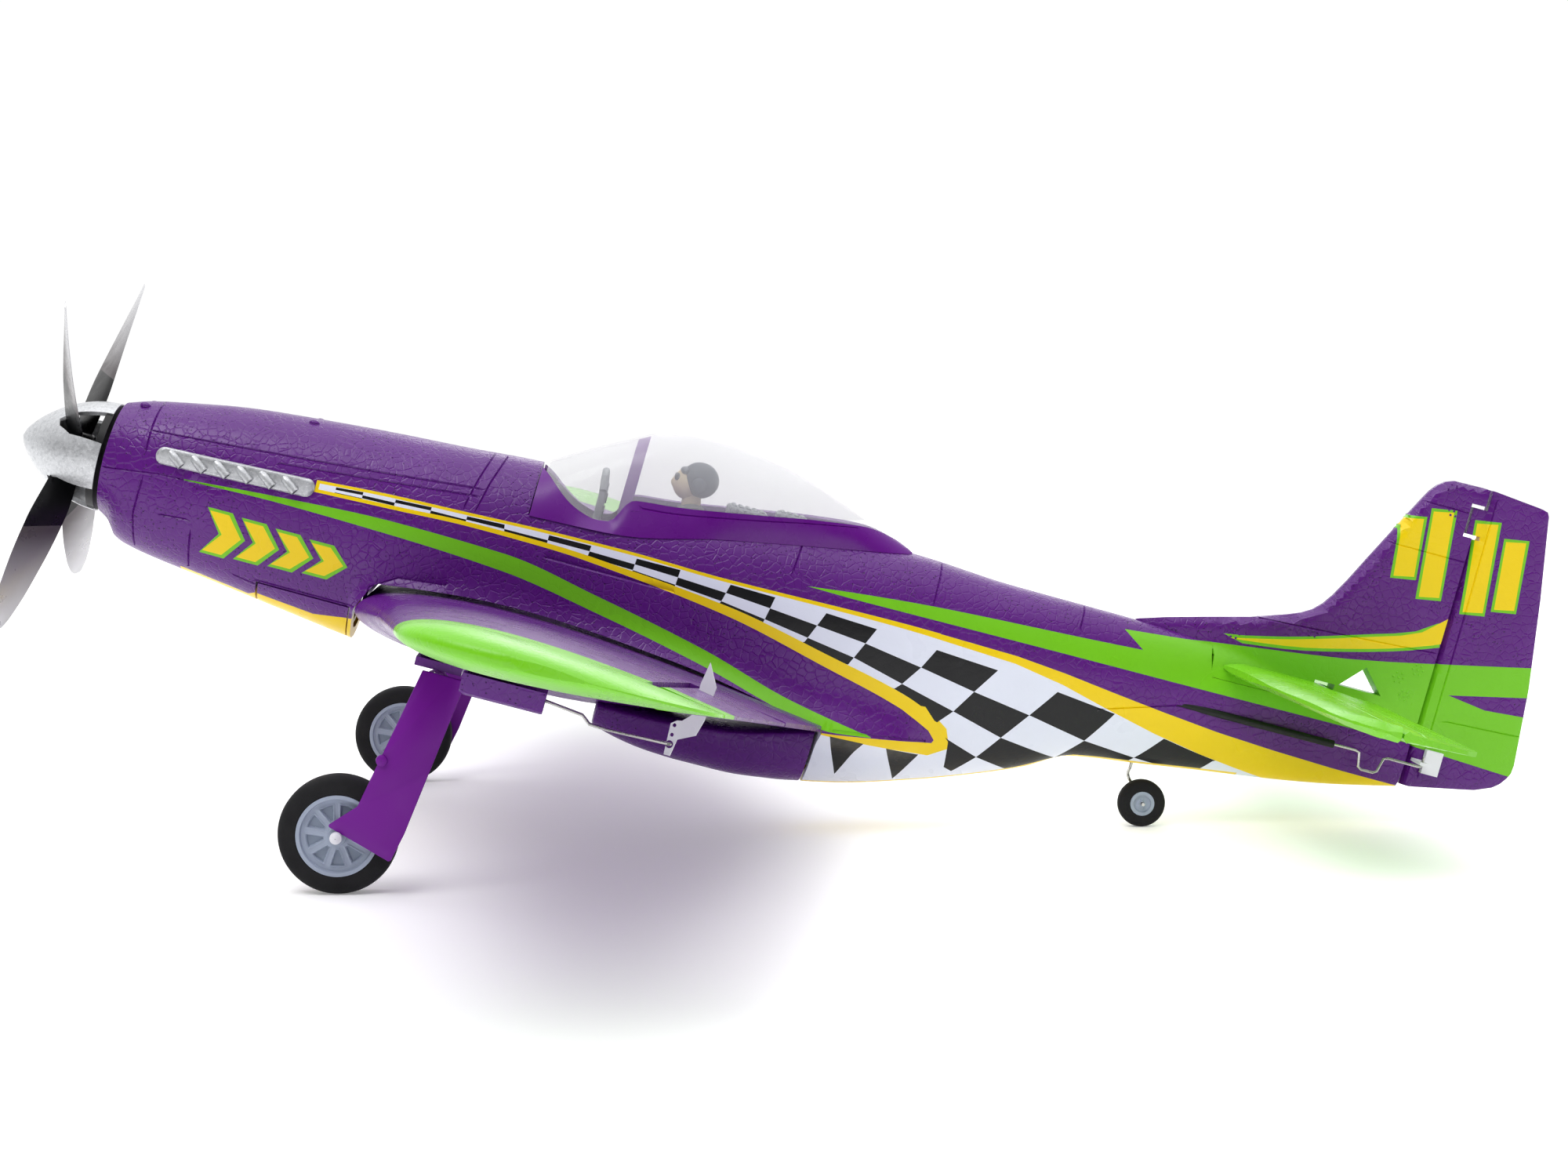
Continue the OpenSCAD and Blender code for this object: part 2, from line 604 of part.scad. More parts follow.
module motor_screws() {
    color("silver") stand() for (k = [0:3]) rotate([90 * k + 45, 0, 0]) translate([0, 0, 9])
        translate([51.4, 0, 0]) rotate([0, 90, 0]) cylinder(h = 1.2, r = 1.1, $fn = 24);
}

// Rounded exhaust bar with a row of slanted stubs
exhaust_x = [41, 83];
module exhaust() {
    stubs = 6;
    pitch = (exhaust_x[1] - exhaust_x[0] - 6) / stubs;
    y = side_y(62, 8) - 0.9;
    union() {
        translate([exhaust_x[0], y, 5.6]) intersection() {
            rotate([90, 0, 90]) linear_extrude(exhaust_x[1] - exhaust_x[0])
                polygon([[0, 0], [1.5, 0], [2, 0.8], [2, 5], [1.3, 5.8], [0, 5.8]]);
            rotate([-1.5, 0, -1.6]) translate([0, -2, -1]) cube([42, 6, 8]);
        }
        for (k = [0:stubs - 1]) translate([exhaust_x[0] + 3.5 + k * pitch, y + 1.2, 8.9])
            rotate([0, 112, 12]) cylinder(h = 4.6, r = 1.2, $fn = 24);
    }
}

module exhaust_left() {
    color("silver") stand() pair_at(-1) exhaust();
}

module exhaust_right() {
    color("silver") stand() exhaust();
}

// ---- Battery bay ----------------------------------------------------------
hatch_gap = 0.4;
function hatch_ring(x) = let (w = wall_at(x), hi = hatch_z - hatch_gap, m = 6)
    concat([for (i = [0:2 * m]) let (t = abs(i - m) / m, z = hi + (keel_z(x) - hi) * cos(90 * t))
        [x, (i < m ? -1 : 1) * side_y(x, z), z - (i == m ? 0 : 0)]],
        [for (i = [2 * m:-1:0]) let (t = abs(i - m) / m, z = hi + (keel_z(x) + w - hi) * cos(90 * t))
        [x, (i < m ? -1 : 1) * side_y(x, z, w) * 0.99, z]]);

module battery_hatch() {
    color(purple) stand()
        loft([for (x = [hatch_x[0] + hatch_gap + step, 81, 88, 94, hatch_x[1] - hatch_gap]) hatch_ring(x)]);
}

module hatch_magnets() {
    color("silver") stand() for (s = [-1, 1]) translate([hatch_x[0] + 5, s * 9, keel_z(79) + 5.2])
        cylinder(h = 1.6, r = 2.2);
}

module battery() {
    color("royalblue") stand() translate([58, -9, -15]) cube([42, 18, 12]);
}

module receiver() {
    color("seagreen") stand() union() {
        translate([112, -10, -2]) cube([28, 20, 1.2]);
        translate([116, -7, -0.8]) cube([9, 9, 2.2]);
        translate([129, -6, -0.8]) cube([6, 12, 3]);
    }
}

// ---- Cockpit --------------------------------------------------------------
rail_line = [[142, 29.4], [148, 26], [156, 20.6], [163, 19.6], [167, 24], [168.5, 27], [180, 28.4],
    [204, 32.2], [221, 34.9], [235, 36.4], [249.4, 33]];
canopy_top = [[142.4, 30.4], [152, 36.6], [163, 42.7], [172, 47.1], [184, 49.3], [198, 48.7],
    [213, 46.1], [226, 41.2], [234, 38.4], [242, 35.4], [250, 32.6]];
canopy_width = [[142, 16], [155, 15.6], [167, 15], [195, 14.6], [215, 12.6], [235, 8.6], [250, 4]];

// Rail that follows the sill and carries the glass
function rail_ring(x) = let (s = lookup(x, sill_line) + 0.2, r = lookup(x, rail_line) - 0.2,
    y0 = side_y(x, min(s, lookup(x, top_line) - 0.6)), y1 = lookup(x, canopy_width), n = 4)
    concat([for (i = [0:n]) let (t = i / n) [x, y0 + (y1 - y0) * t, s + (r - s) * t]],
        [for (i = [n:-1:0]) let (t = i / n)
            [x, max(0.3, y0 + (y1 - y0) * t - 1.4 - (1 - t)), s + (r - s) * t]]);

module canopy_frame() {
    color(bright_purple) stand() union() {
        for (s = [1, -1]) pair_at(s)
            loft([for (x = [143, 148, 156, 163, 167, 168.5, 180, 195, 208, 221, 235, 242, 246]) rail_ring(x)]);
        hoop();
    }
}

// Glass outline above the rail: an arch from one rail to the other
arch_points = 8;
function arch(x, inset) = let (r = lookup(x, rail_line), t = lookup(x, canopy_top) - inset,
    w = lookup(x, canopy_width) - inset)
    [for (i = [-arch_points:arch_points]) let (a = 90 * i / arch_points)
        [x, w * sin(a), r + max(0.3, t - r) * pow(cos(a), 0.8)]];
function arch_ring(x, thick) = let (outer = arch(x, 0), inner = arch(x, thick), n = len(outer))
    concat(outer, [for (i = [n - 1:-1:0]) inner[i]]);

module hoop() {
    loft([for (x = [166.2, 169]) let (outer = arch(x, 0.9), inner = arch(x, 2.4), n = len(outer))
        concat(outer, [for (i = [n - 1:-1:0]) inner[i]])], true);
}

module canopy_glass() {
    color([0.9, 0.92, 1, 0.35]) stand()
        loft([for (x = [144, 150, 157, 163, 167, 172, 178, 184, 191, 198, 206, 213, 220, 226, 234, 240, 245])
            arch_ring(x, 0.7)], true);
}

module cockpit_tub() {
    color("black") stand() translate([168, -11, 9]) cube([44, 22, 2]);
}

module instrument_panel() {
    color("dimgray") stand() translate([160, -9, 17]) rotate([0, -14, 0]) cube([2, 18, 14]);
}

module cockpit_boxes() {
    color("gray") stand() {
        translate([195, -6, 11.1]) cube([12, 12, 24]);
        translate([209, -5, 11.1]) cube([9, 10, 25.5]);
    }
}

// Bust of a pilot in a round flying helmet
module pilot() {
    color("darkslategray") stand() translate([185.5, 0, 0]) union() {
        translate([0, 0, 36.6]) scale(1) sphere(r = 5.6);
        translate([-3.4, 0, 35]) rotate([0, 90, 0]) cylinder(h = 4, r1 = 3.4, r2 = 4, $fn = 32, center = true);
        translate([0, 0, 24]) cylinder(h = 8.4, r = 2.6);
        translate([-4, -8.6, 11.1]) cube([8, 17.2, 15]);
    }
}

// ---- Landing gear ---------------------------------------------------------
main_axle = to_air([-main_ahead, track / 2, main_r]);
leg_top = [131.5, track / 2 - 3, -13];
leg_y = track / 2 - main_w / 2 - 3.4;

module gear_plates() {
    color("white") stand() for (s = [-1, 1]) pair_at(s)
        translate([126, leg_y - 6, -22.2]) cube([12, 16, 2.2]);
}

// Sprung wire leg: a coil under the wing, then down to the axle through the hub
module gear_leg() {
    a = main_axle;
    coil = [132, leg_y, -27];
    union() {
        rod([132, leg_y, -22.3], [132, leg_y, -24], wire_r);
        translate(coil) rotate([90, 0, 0]) rotate_extrude() translate([2.8, 0]) circle(r = wire_r);
        wire([[coil.x - 1.2, leg_y, coil.z - 2.6], [a.x, leg_y, a.z], [a.x, track / 2 + main_w / 2 + 2.4, a.z]],
            wire_r);
    }
}

module gear_leg_left() {
    color("silver") stand() pair_at(-1) gear_leg();
}

module gear_leg_right() {
    color("silver") stand() gear_leg();
}

// Flat door beside the wheel, wider at its foot, hung on the axle's end
door_y = track / 2 + main_w / 2 + 0.9;
module gear_door() {
    translate([0, door_y + 1, 0]) rotate([90, 0, 0]) linear_extrude(1) difference() {
        polygon([[128.6, -22.6], [139.2, -22.6], [139.6, -24], [134.4, -64], [132.8, -71.6],
            [115.5, -66.8], [121.4, -60]]);
        translate([main_axle.x, main_axle.z]) circle(r = wire_r + 0.05);
    }
}

module gear_door_left() {
    color(bright_purple) stand() pair_at(-1) gear_door();
}

module gear_door_right() {
    color(bright_purple) stand() gear_door();
}

module door_screws() {
    color("silver") stand() for (s = [-1, 1]) pair_at(s)
        translate([124.4, door_y + 1, -47.2]) rotate([-90, 0, 0]) cylinder(h = 1, r = 1.5, $fn = 24);
}

module tyre(r, hub_r, w) {
    rotate([90, 0, 0]) rotate_extrude() polygon([[hub_r, -w / 2 + 0.6], [hub_r + 0.8, -w / 2],
        [r - 2, -w / 2], [r - 0.6, -w / 2 + 1.2], [r, -w / 4], [r, w / 4], [r - 0.6, w / 2 - 1.2],
        [r - 2, w / 2], [hub_r + 0.8, w / 2], [hub_r, w / 2 - 0.6]]);
}

// Dished hub with a ring of pockets on each face
main_hub_r = 10.4;
module main_hub() {
    pockets = 9;
    difference() {
        rotate([90, 0, 0]) union() {
            cylinder(h = main_w - 2.4, r = main_hub_r, center = true);
            cylinder(h = main_w + 0.6, r = 2.4, center = true);
        }
        rotate([90, 0, 0]) cylinder(h = 2 * main_w, r = wire_r + axle_fit, center = true);
        for (k = [0:pockets - 1], s = [-1, 1]) rotate([0, 360 * k / pockets, 0])
            translate([0, s * (main_w / 2 - 1.2), 6.4]) cube([2.8, 1.8, 3.6], center = true);
    }
}

module at_main(side) {
    a = to_ground(main_axle);
    translate([a.x, side * track / 2, a.z]) children();
}

module main_tyre_left() {
    color("black") at_main(-1) tyre(main_r, main_hub_r, main_w);
}

module main_tyre_right() {
    color("black") at_main(1) tyre(main_r, main_hub_r, main_w);
}

module main_hub_left() {
    color(hub_grey) at_main(-1) main_hub();
}

module main_hub_right() {
    color(hub_grey) at_main(1) main_hub();
}

tail_axle = to_air([tail_behind, 0, tail_r]);
tail_wire_r = 0.5;
tail_w = 4;
steer_x = 328;
module tail_leg() {
    a = tail_axle;
    color("silver") stand() wire([[steer_x, 0, 2], [steer_x, 0, -11.4], [steer_x + 0.4, 3.2, -13.6],
        [a.x, 3.2, a.z], [a.x, -3.2, a.z]], tail_wire_r);
}

module tail_bush() {
    color("black") stand() translate([steer_x, 0, -8.6]) difference() {
        cylinder(h = 9.6, r = 1.8);
        translate([0, 0, -1]) cylinder(h = 12, r = tail_wire_r + 0.06);
    }
}

module at_tail() {
    translate([tail_behind, 0, tail_r]) children();
}

module tail_tyre() {
    color("black") at_tail() tyre(tail_r, 3.5, tail_w);
}

module tail_hub() {
    color(hub_grey) at_tail() rotate([90, 0, 0]) difference() {
        cylinder(h = tail_w - 0.8, r = 3.5, center = true);
        cylinder(h = 3 * tail_w, r = tail_wire_r + axle_fit, center = true);
    }
}

fuselage_left();
fuselage_right();
fin();
firewall();
motor_stator();
motor_bell();
prop_shaft();
spinner_backplate();
propeller();
spinner();
exhaust_left();
exhaust_right();
battery_hatch();
hatch_magnets();
battery();
receiver();
canopy_frame();
canopy_glass();
cockpit_tub();
instrument_panel();
cockpit_boxes();
pilot();
wing();
belly_scoop();
aileron_left();
aileron_right();
aileron_horn_left();
aileron_horn_right();
aileron_rod_left();
aileron_rod_right();
servo_carriage_left();
servo_carriage_right();
servo_fairing_left();
servo_fairing_right();
gear_plates();
gear_leg_left();
gear_leg_right();
gear_door_left();
gear_door_right();
door_screws();
main_tyre_left();
main_tyre_right();
main_hub_left();
main_hub_right();
tail_leg();
tail_bush();
tail_tyre();
tail_hub();
stabilizer();
elevator();
elevator_horn();
elevator_rod();
rudder();
rudder_horn();
rudder_rod();
guide_tubes();
tail_servos();
motor_screws();
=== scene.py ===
"""Foam radio-control racing warbird on its three wheels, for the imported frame.

Shapes are drawn level in the aircraft frame in millimetres: x aft from the spinner tip, y to the
right wing, z up from the thrust line. AIR stands them on the ground in metres.
"""
import math

import bpy
import numpy as np
from mathutils import Matrix, Vector, geometry


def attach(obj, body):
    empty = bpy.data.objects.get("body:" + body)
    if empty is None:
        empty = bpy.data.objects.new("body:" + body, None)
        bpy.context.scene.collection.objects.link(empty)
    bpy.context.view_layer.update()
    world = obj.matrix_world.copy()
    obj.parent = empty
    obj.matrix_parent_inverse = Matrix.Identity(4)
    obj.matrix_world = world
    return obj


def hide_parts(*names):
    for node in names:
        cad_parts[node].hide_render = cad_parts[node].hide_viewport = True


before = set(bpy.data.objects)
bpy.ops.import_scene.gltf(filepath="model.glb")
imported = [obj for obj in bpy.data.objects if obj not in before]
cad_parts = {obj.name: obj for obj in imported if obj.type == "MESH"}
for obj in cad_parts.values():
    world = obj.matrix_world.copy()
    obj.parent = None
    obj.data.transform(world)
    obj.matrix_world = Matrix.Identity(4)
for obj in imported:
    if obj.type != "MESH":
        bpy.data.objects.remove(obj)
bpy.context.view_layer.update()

TILT = math.radians(14.8)
TIP = Vector((-0.2175, 0.0, 0.1122))
AIR = Matrix.Translation(TIP) @ Matrix.Rotation(TILT, 4, "Y") @ Matrix.Scale(0.001, 4)


# ---- Curves ---------------------------------------------------------------
class Line:
    """Smooth curve through (x, value) pairs, with no overshoot between them."""

    def __init__(self, *points):
        self.x = [p[0] for p in points]
        self.y = [p[1] for p in points]
        slopes = [(b[1] - a[1]) / (b[0] - a[0]) for a, b in zip(points, points[1:])]
        inner = [0 if a * b <= 0 else 2 * a * b / (a + b) for a, b in zip(slopes, slopes[1:])]
        self.m = [slopes[0], *inner, slopes[-1]]

    def __call__(self, x):
        if x <= self.x[0]:
            return self.y[0]
        if x >= self.x[-1]:
            return self.y[-1]
        i = max(k for k in range(len(self.x) - 1) if self.x[k] <= x)
        h = self.x[i + 1] - self.x[i]
        t = (x - self.x[i]) / h
        a, b, p, q = self.y[i], self.y[i + 1], self.m[i] * h, self.m[i + 1] * h
        return (a * (1 + 2 * t) * (1 - t) ** 2 + p * t * (1 - t) ** 2
                + b * t * t * (3 - 2 * t) + q * t * t * (t - 1))


def dense(points, step=1.0, closed=True):
    """The same outline with a point at least every step."""
    out = []
    ends = list(zip(points, points[1:] + points[:1])) if closed else list(zip(points, points[1:]))
    for a, b in ends:
        n = max(1, math.ceil(math.dist(a, b) / step))
        out += [(a[0] + (b[0] - a[0]) * k / n, a[1] + (b[1] - a[1]) * k / n) for k in range(n)]
    return out if closed else out + [points[-1]]


def smooth_path(points, steps):
    """Catmull-Rom curve through 3-D points."""
    p = [Vector(q) for q in points]
    last = len(p) - 1
    out = []
    for i in range(last):
        a, b, c, d = (p[min(max(i + k, 0), last)] for k in (-1, 0, 1, 2))
        for s in range(steps):
            t = s / steps
            out.append(0.5 * (2 * b + (c - a) * t + (2 * a - 5 * b + 4 * c - d) * t * t
                              + (3 * b - a - 3 * c + d) * t ** 3))
    return [tuple(q) for q in out + [p[-1]]]


def inside(poly, points):
    """Which of the points lie inside the polygon, by crossings."""
    u, v = points[:, 0], points[:, 1]
    hit = np.zeros(len(points), bool)
    for (x0, y0), (x1, y1) in zip(poly, poly[1:] + poly[:1]):
        if y0 != y1:
            hit ^= ((y0 > v) != (y1 > v)) & (u < (x1 - x0) * (v - y0) / (y1 - y0) + x0)
    return hit


# ---- Materials ------------------------------------------------------------
def srgb(r, g, b):
    return tuple(((c / 255 + 0.055) / 1.055) ** 2.4 if c > 10 else c / 3295 for c in (r, g, b)) + (1.0,)


class Shader:
    """A small helper that wires one Principled material."""

    def __init__(self, name, colour, rough=0.4, metal=0.0, coat=0.0, ior=1.45):
        self.material = bpy.data.materials.new(name)
        self.material.use_nodes = True
        self.tree = self.material.node_tree
        self.bsdf = self.tree.nodes["Principled BSDF"]
        self.bsdf.inputs["Base Color"].default_value = colour
        self.bsdf.inputs["Roughness"].default_value = rough
        self.bsdf.inputs["Metallic"].default_value = metal
        self.bsdf.inputs["Coat Weight"].default_value = coat
        self.bsdf.inputs["Coat Roughness"].default_value = 0.15
        self.bsdf.inputs["IOR"].default_value = ior
        self.coords = self.node("ShaderNodeTexCoord").outputs["Object"]
        self.colour = colour
        self.normal = None

    def node(self, kind, **settings):
        n = self.tree.nodes.new(kind)
        for key, value in settings.items():
            setattr(n, key, value)
        return n

    def link(self, a, b):
        self.tree.links.new(a, b)

    def noise(self, size_mm, detail=3.0, stretch=None):
        n = self.node("ShaderNodeTexNoise")
        n.inputs["Scale"].default_value = 1000 / size_mm
        n.inputs["Detail"].default_value = detail
        self.link(self.scaled(stretch), n.inputs["Vector"])
        return n.outputs["Fac"]

    def cells(self, size_mm, feature="F1", randomness=1.0):
        n = self.node("ShaderNodeTexVoronoi", feature=feature)
        n.inputs["Scale"].default_value = 1000 / size_mm
        n.inputs["Randomness"].default_value = randomness
        self.link(self.coords, n.inputs["Vector"])
        return n.outputs["Distance"]

    def scaled(self, stretch):
        if stretch is None:
            return self.coords
        n = self.node("ShaderNodeMapping")
        n.inputs["Scale"].default_value = stretch
        self.link(self.coords, n.inputs["Vector"])
        return n.outputs["Vector"]

    def ramp(self, value, low, high, start=0.0, end=1.0):
        n = self.node("ShaderNodeMapRange")
        for key, number in (("From Min", low), ("From Max", high), ("To Min", start), ("To Max", end)):
            n.inputs[key].default_value = number
        self.link(value, n.inputs["Value"])
        return n.outputs["Result"]

    def math(self, kind, a, b):
        n = self.node("ShaderNodeMath", operation=kind)
        for socket, value in zip(n.inputs, (a, b)):
            if isinstance(value, (int, float)):
                socket.default_value = value
            else:
                self.link(value, socket)
        return n.outputs["Value"]

    def tint(self, amount, other):
        """Mixes the base colour towards another by a 0 to 1 pattern."""
        n = self.node("ShaderNodeMix", data_type="RGBA")
        self.link(amount, n.inputs[0])
        source = self.bsdf.inputs["Base Color"]
        if source.links:
            self.link(source.links[0].from_socket, n.inputs[6])
        else:
            n.inputs[6].default_value = self.colour
        n.inputs[7].default_value = other
        self.link(n.outputs[2], source)

    def bump(self, height, depth_mm, strength=1.0):
        n = self.node("ShaderNodeBump")
        n.inputs["Distance"].default_value = depth_mm / 1000
        n.inputs["Strength"].default_value = strength
        self.link(height, n.inputs["Height"])
        if self.normal is not None:
            self.link(self.normal, n.inputs["Normal"])
        self.normal = n.outputs["Normal"]
        self.link(self.normal, self.bsdf.inputs["Normal"])

    def vary_rough(self, pattern, low, high):
        self.link(self.ramp(pattern, 0.3, 0.7, low, high), self.bsdf.inputs["Roughness"])


def foam(name, colour, pits=1.0, rough=0.3, relief=1.0):
    """Moulded bead foam under paint: bead borders, open pits with painted shade in them, and small random tone
    changes.
    """
    s = Shader(name, colour, rough)
    s.bsdf.inputs["Specular IOR Level"].default_value = 0.42
    dark = tuple(c * 0.3 for c in colour[:3]) + (1.0,)
    light = tuple(min(1, c * 1.25 + 0.004) for c in colour[:3]) + (1.0,)
    s.tint(s.ramp(s.noise(26, 4), 0.35, 0.75, 0, 0.5), light)
    border = s.ramp(s.cells(2.3, "DISTANCE_TO_EDGE"), 0.0, 0.1)
    patch = s.ramp(s.noise(34, 2), 0.42, 0.58)
    hole = s.math("MULTIPLY", s.ramp(s.cells(1.25, randomness=0.9), 0.2, 0.12), patch)
    # The pits are darkened towards a third of the colour: painted shade in the pits, on top of their real dent.
    s.tint(s.math("MULTIPLY", hole, 0.8 * pits), dark)
    s.bump(s.noise(2.6, 3), 0.08 * relief)
    s.bump(s.noise(0.8, 2), 0.035 * relief)
    s.bump(border, 0.07 * relief)
    s.bump(s.math("SUBTRACT", 1.0, hole), 0.22 * pits)
    s.vary_rough(s.noise(9, 3), rough - 0.08, rough + 0.06)
    return s.material


def vinyl(name, colour, rough=0.3):
    """Printed film laid over the foam: the beads telegraph through faintly."""
    s = Shader(name, colour, rough)
    s.bsdf.inputs["Specular IOR Level"].default_value = 0.35
    s.tint(s.ramp(s.noise(18, 4), 0.3, 0.8, 0, 0.18), tuple(c * 0.8 for c in colour[:3]) + (1.0,))
    s.bump(s.noise(3.0, 2), 0.06)
    s.bump(s.ramp(s.cells(2.3, "DISTANCE_TO_EDGE"), 0, 0.1), 0.012)
    s.vary_rough(s.noise(12, 2), rough - 0.05, rough + 0.08)
    return s.material


def plastic(name, colour, rough=0.35, grain=0.35, coat=0.0, depth=0.01):
    s = Shader(name, colour, rough, coat=coat)
    s.bsdf.inputs["Specular IOR Level"].default_value = 0.35
    s.tint(s.ramp(s.noise(14, 4), 0.35, 0.8, 0, 0.25), tuple(c * 0.82 for c in colour[:3]) + (1.0,))
    s.bump(s.noise(grain, 3), depth)
    s.vary_rough(s.noise(6, 3), rough - 0.06, rough + 0.1)
    return s.material


def metal(name, colour, rough=0.3, grain=0.2, stretch=None):
    s = Shader(name, colour, rough, metal=1.0)
    s.tint(s.ramp(s.noise(5, 4), 0.4, 0.8, 0, 0.35), tuple(c * 0.7 for c in colour[:3]) + (1.0,))
    s.bump(s.noise(grain, 4, stretch), 0.006)
    s.vary_rough(s.noise(1.6, 4, stretch), rough - 0.1, rough + 0.15)
    return s.material


def speckled_silver(name, colour, rough):
    """Silver paint on moulded foam, with fine metallic glints painted into the colour as pale specks: painted
    highlights.
    """
    s = Shader(name, colour, rough, metal=0.55, coat=0.2)
    glint_specks = s.ramp(s.cells(0.55), 0.34, 0.1)
    # Pale specks at the cell centres: painted glints of the metal flakes.
    s.tint(s.math("MULTIPLY", glint_specks, 0.5), (0.9, 0.9, 0.92, 1))
    s.tint(s.ramp(s.noise(0.9, 4), 0.45, 0.75, 0, 0.55), (0.28, 0.29, 0.31, 1))
    s.bump(s.noise(1.3, 4), 0.09)
    s.bump(s.cells(2.2, "DISTANCE_TO_EDGE"), 0.03)
    s.vary_rough(s.noise(1.1, 3), rough - 0.1, rough + 0.12)
    return s.material


def clear_plastic(name):
    s = Shader(name, (0.93, 0.94, 0.97, 1), 0.06)
    s.bsdf.inputs["Alpha"].default_value = 0.17
    s.bump(s.noise(22, 2), 0.05)
    return s.material


def graded(name, dark, light):
    """Blade film that goes from dark at the boundary to pale at the tip, by a mesh attribute."""
    s = Shader(name, dark, 0.32, metal=0.35)
    shade = s.node("ShaderNodeAttribute", attribute_name="shade").outputs["Fac"]
    s.tint(shade, light)
    s.bump(s.noise(0.5, 3), 0.008)
    s.vary_rough(s.noise(4, 3), 0.26, 0.42)
    return s.material


PURPLE = srgb(84, 18, 116)
GREEN = srgb(112, 190, 28)
YELLOW = srgb(236, 202, 8)
MAT = {
    "purple": foam("foam_purple", PURPLE),
    "green": vinyl("film_green", GREEN),
    "yellow": vinyl("film_yellow", YELLOW),
    "white": vinyl("film_white", srgb(222, 226, 240)),
    "black": vinyl("film_black", srgb(17, 17, 20)),
    "green_foam": foam("foam_green", GREEN, pits=0.25, relief=0.35),
    "plastic": plastic("plastic_purple", srgb(96, 16, 128), 0.26),
    "door": plastic("door_purple", srgb(112, 6, 142), 0.42, depth=0.003),
    "silver": speckled_silver("spinner_silver", (0.56, 0.57, 0.59, 1), 0.38),
    "exhaust": speckled_silver("exhaust_silver", (0.5, 0.51, 0.53, 1), 0.42),
    # Dark grey for the discs in the exhaust mouths: painted shade for the hollows.
    "mouth_shade": plastic("exhaust_mouth", srgb(92, 94, 98), 0.5),
    "blade": plastic("blade_black", srgb(16, 16, 18), 0.28, 0.25),
    "blade_tip": graded("blade_grey", srgb(84, 78, 80), srgb(205, 205, 208)),
    "dark": plastic("black_plastic", srgb(20, 20, 22), 0.45, 0.3),
    "steel": metal("wire_steel", (0.55, 0.54, 0.52, 1), 0.28, 0.3),
    "alloy": metal("alloy", (0.72, 0.72, 0.74, 1), 0.3),
    "white_plastic": plastic("horn_white", srgb(226, 226, 232), 0.32),
    "tyre": plastic("tyre_foam", srgb(26, 26, 28), 0.85, 0.35, depth=0.09),
    "hub": plastic("hub_grey", srgb(158, 168, 186), 0.42),
    # Darker grey for faces deep in the hub pockets: painted shade in the pockets.
    "hub_recess_shade": plastic("hub_painted_recess_shade", srgb(138, 149, 166), 0.5),
    "panel": plastic("cockpit_grey", srgb(128, 134, 136), 0.6, 0.7, depth=0.08),
    "dial": plastic("dial_black", srgb(24, 25, 28), 0.3),
    "helmet": plastic("helmet_blue", srgb(30, 40, 58), 0.38, 0.9, depth=0.06),
    "skin": plastic("face_tan", srgb(206, 188, 150), 0.55, 0.7, depth=0.04),
    "suit": plastic("suit_grey", srgb(78, 84, 78), 0.7, 0.6, depth=0.07),
    "clear": clear_plastic("canopy_clear"),
    "wood": plastic("plywood", srgb(190, 160, 116), 0.6),
    "cell": plastic("battery_wrap", srgb(32, 60, 130), 0.25, coat=0.3),
    "circuit": plastic("circuit_green", srgb(18, 82, 48), 0.35),
}


# ---- Mesh builders --------------------------------------------------------
SIDES = ("right", "left")
SHARP = math.radians(35)


def add_piece(name, verts, faces, body, slot, materials, picks=None, replaces=(), world=False):
    """One Blender object from mesh data in the aircraft frame, or in the ground frame in metres."""
    mesh = bpy.data.meshes.new(name)
    place = Matrix.Identity(4) if world else AIR
    mesh.from_pydata([place @ Vector(v) for v in verts], [], faces)
    for m in materials:
        mesh.materials.append(MAT[m])
    if picks:
        mesh.polygons.foreach_set("material_index", picks)
    mesh.polygons.foreach_set("use_smooth", [True] * len(mesh.polygons))
    mesh.validate()
    mesh.set_sharp_from_angle(angle=SHARP)
    obj = bpy.data.objects.new(name, mesh)
    bpy.context.scene.collection.objects.link(obj)
    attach(obj, body)
    if replaces:
        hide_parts(*replaces)
    return obj


def turned(faces):
    return [tuple(reversed(f)) for f in faces]


def mirrored(verts, faces):
    return [(v[0], -v[1], v[2]) for v in verts], turned(faces)


def add_pair(name, mesh, body, slot, materials, node, picks=None):
    """The same piece on the right and, mirrored, on the left; {} in a name stands for the side."""
    for side in SIDES:
        verts, faces = mesh if side == "right" else mirrored(*mesh)
        add_piece(name.format(side), verts, faces, body.format(side), slot, materials, picks,
                  [node.format(side)])


def loft(rings, caps=True):
    """Quads over equal rings of points, with flat caps."""
    n = len(rings[0])
    verts = [tuple(p) for r in rings for p in r]
    faces = []
    for j in range(len(rings) - 1):
        for i in range(n):
            k = (i + 1) % n
            faces.append((j * n + i, (j + 1) * n + i, (j + 1) * n + k, j * n + k))
    if caps:
        last = (len(rings) - 1) * n
        faces += [tuple(range(n)), tuple(last + i for i in reversed(range(n)))]
    return verts, faces


def sweep(path, radius, sides=12, taper=None):
    """Round tube along 3-D points with a steady frame."""
    p = [Vector(q) for q in path]
    up = Vector((0.31, 0.83, 0.46)).normalized()
    rings = []
    for i, q in enumerate(p):
        t = (p[min(i + 1, len(p) - 1)] - p[max(i - 1, 0)]).normalized()
        up = (up - t * up.dot(t)).normalized()
        side = t.cross(up)
        r = radius * (taper[i] if taper else 1)
        rings.append([q + r * (math.cos(a) * up + math.sin(a) * side)
                      for a in (2 * math.pi * k / sides for k in range(sides))])
    return loft(rings)


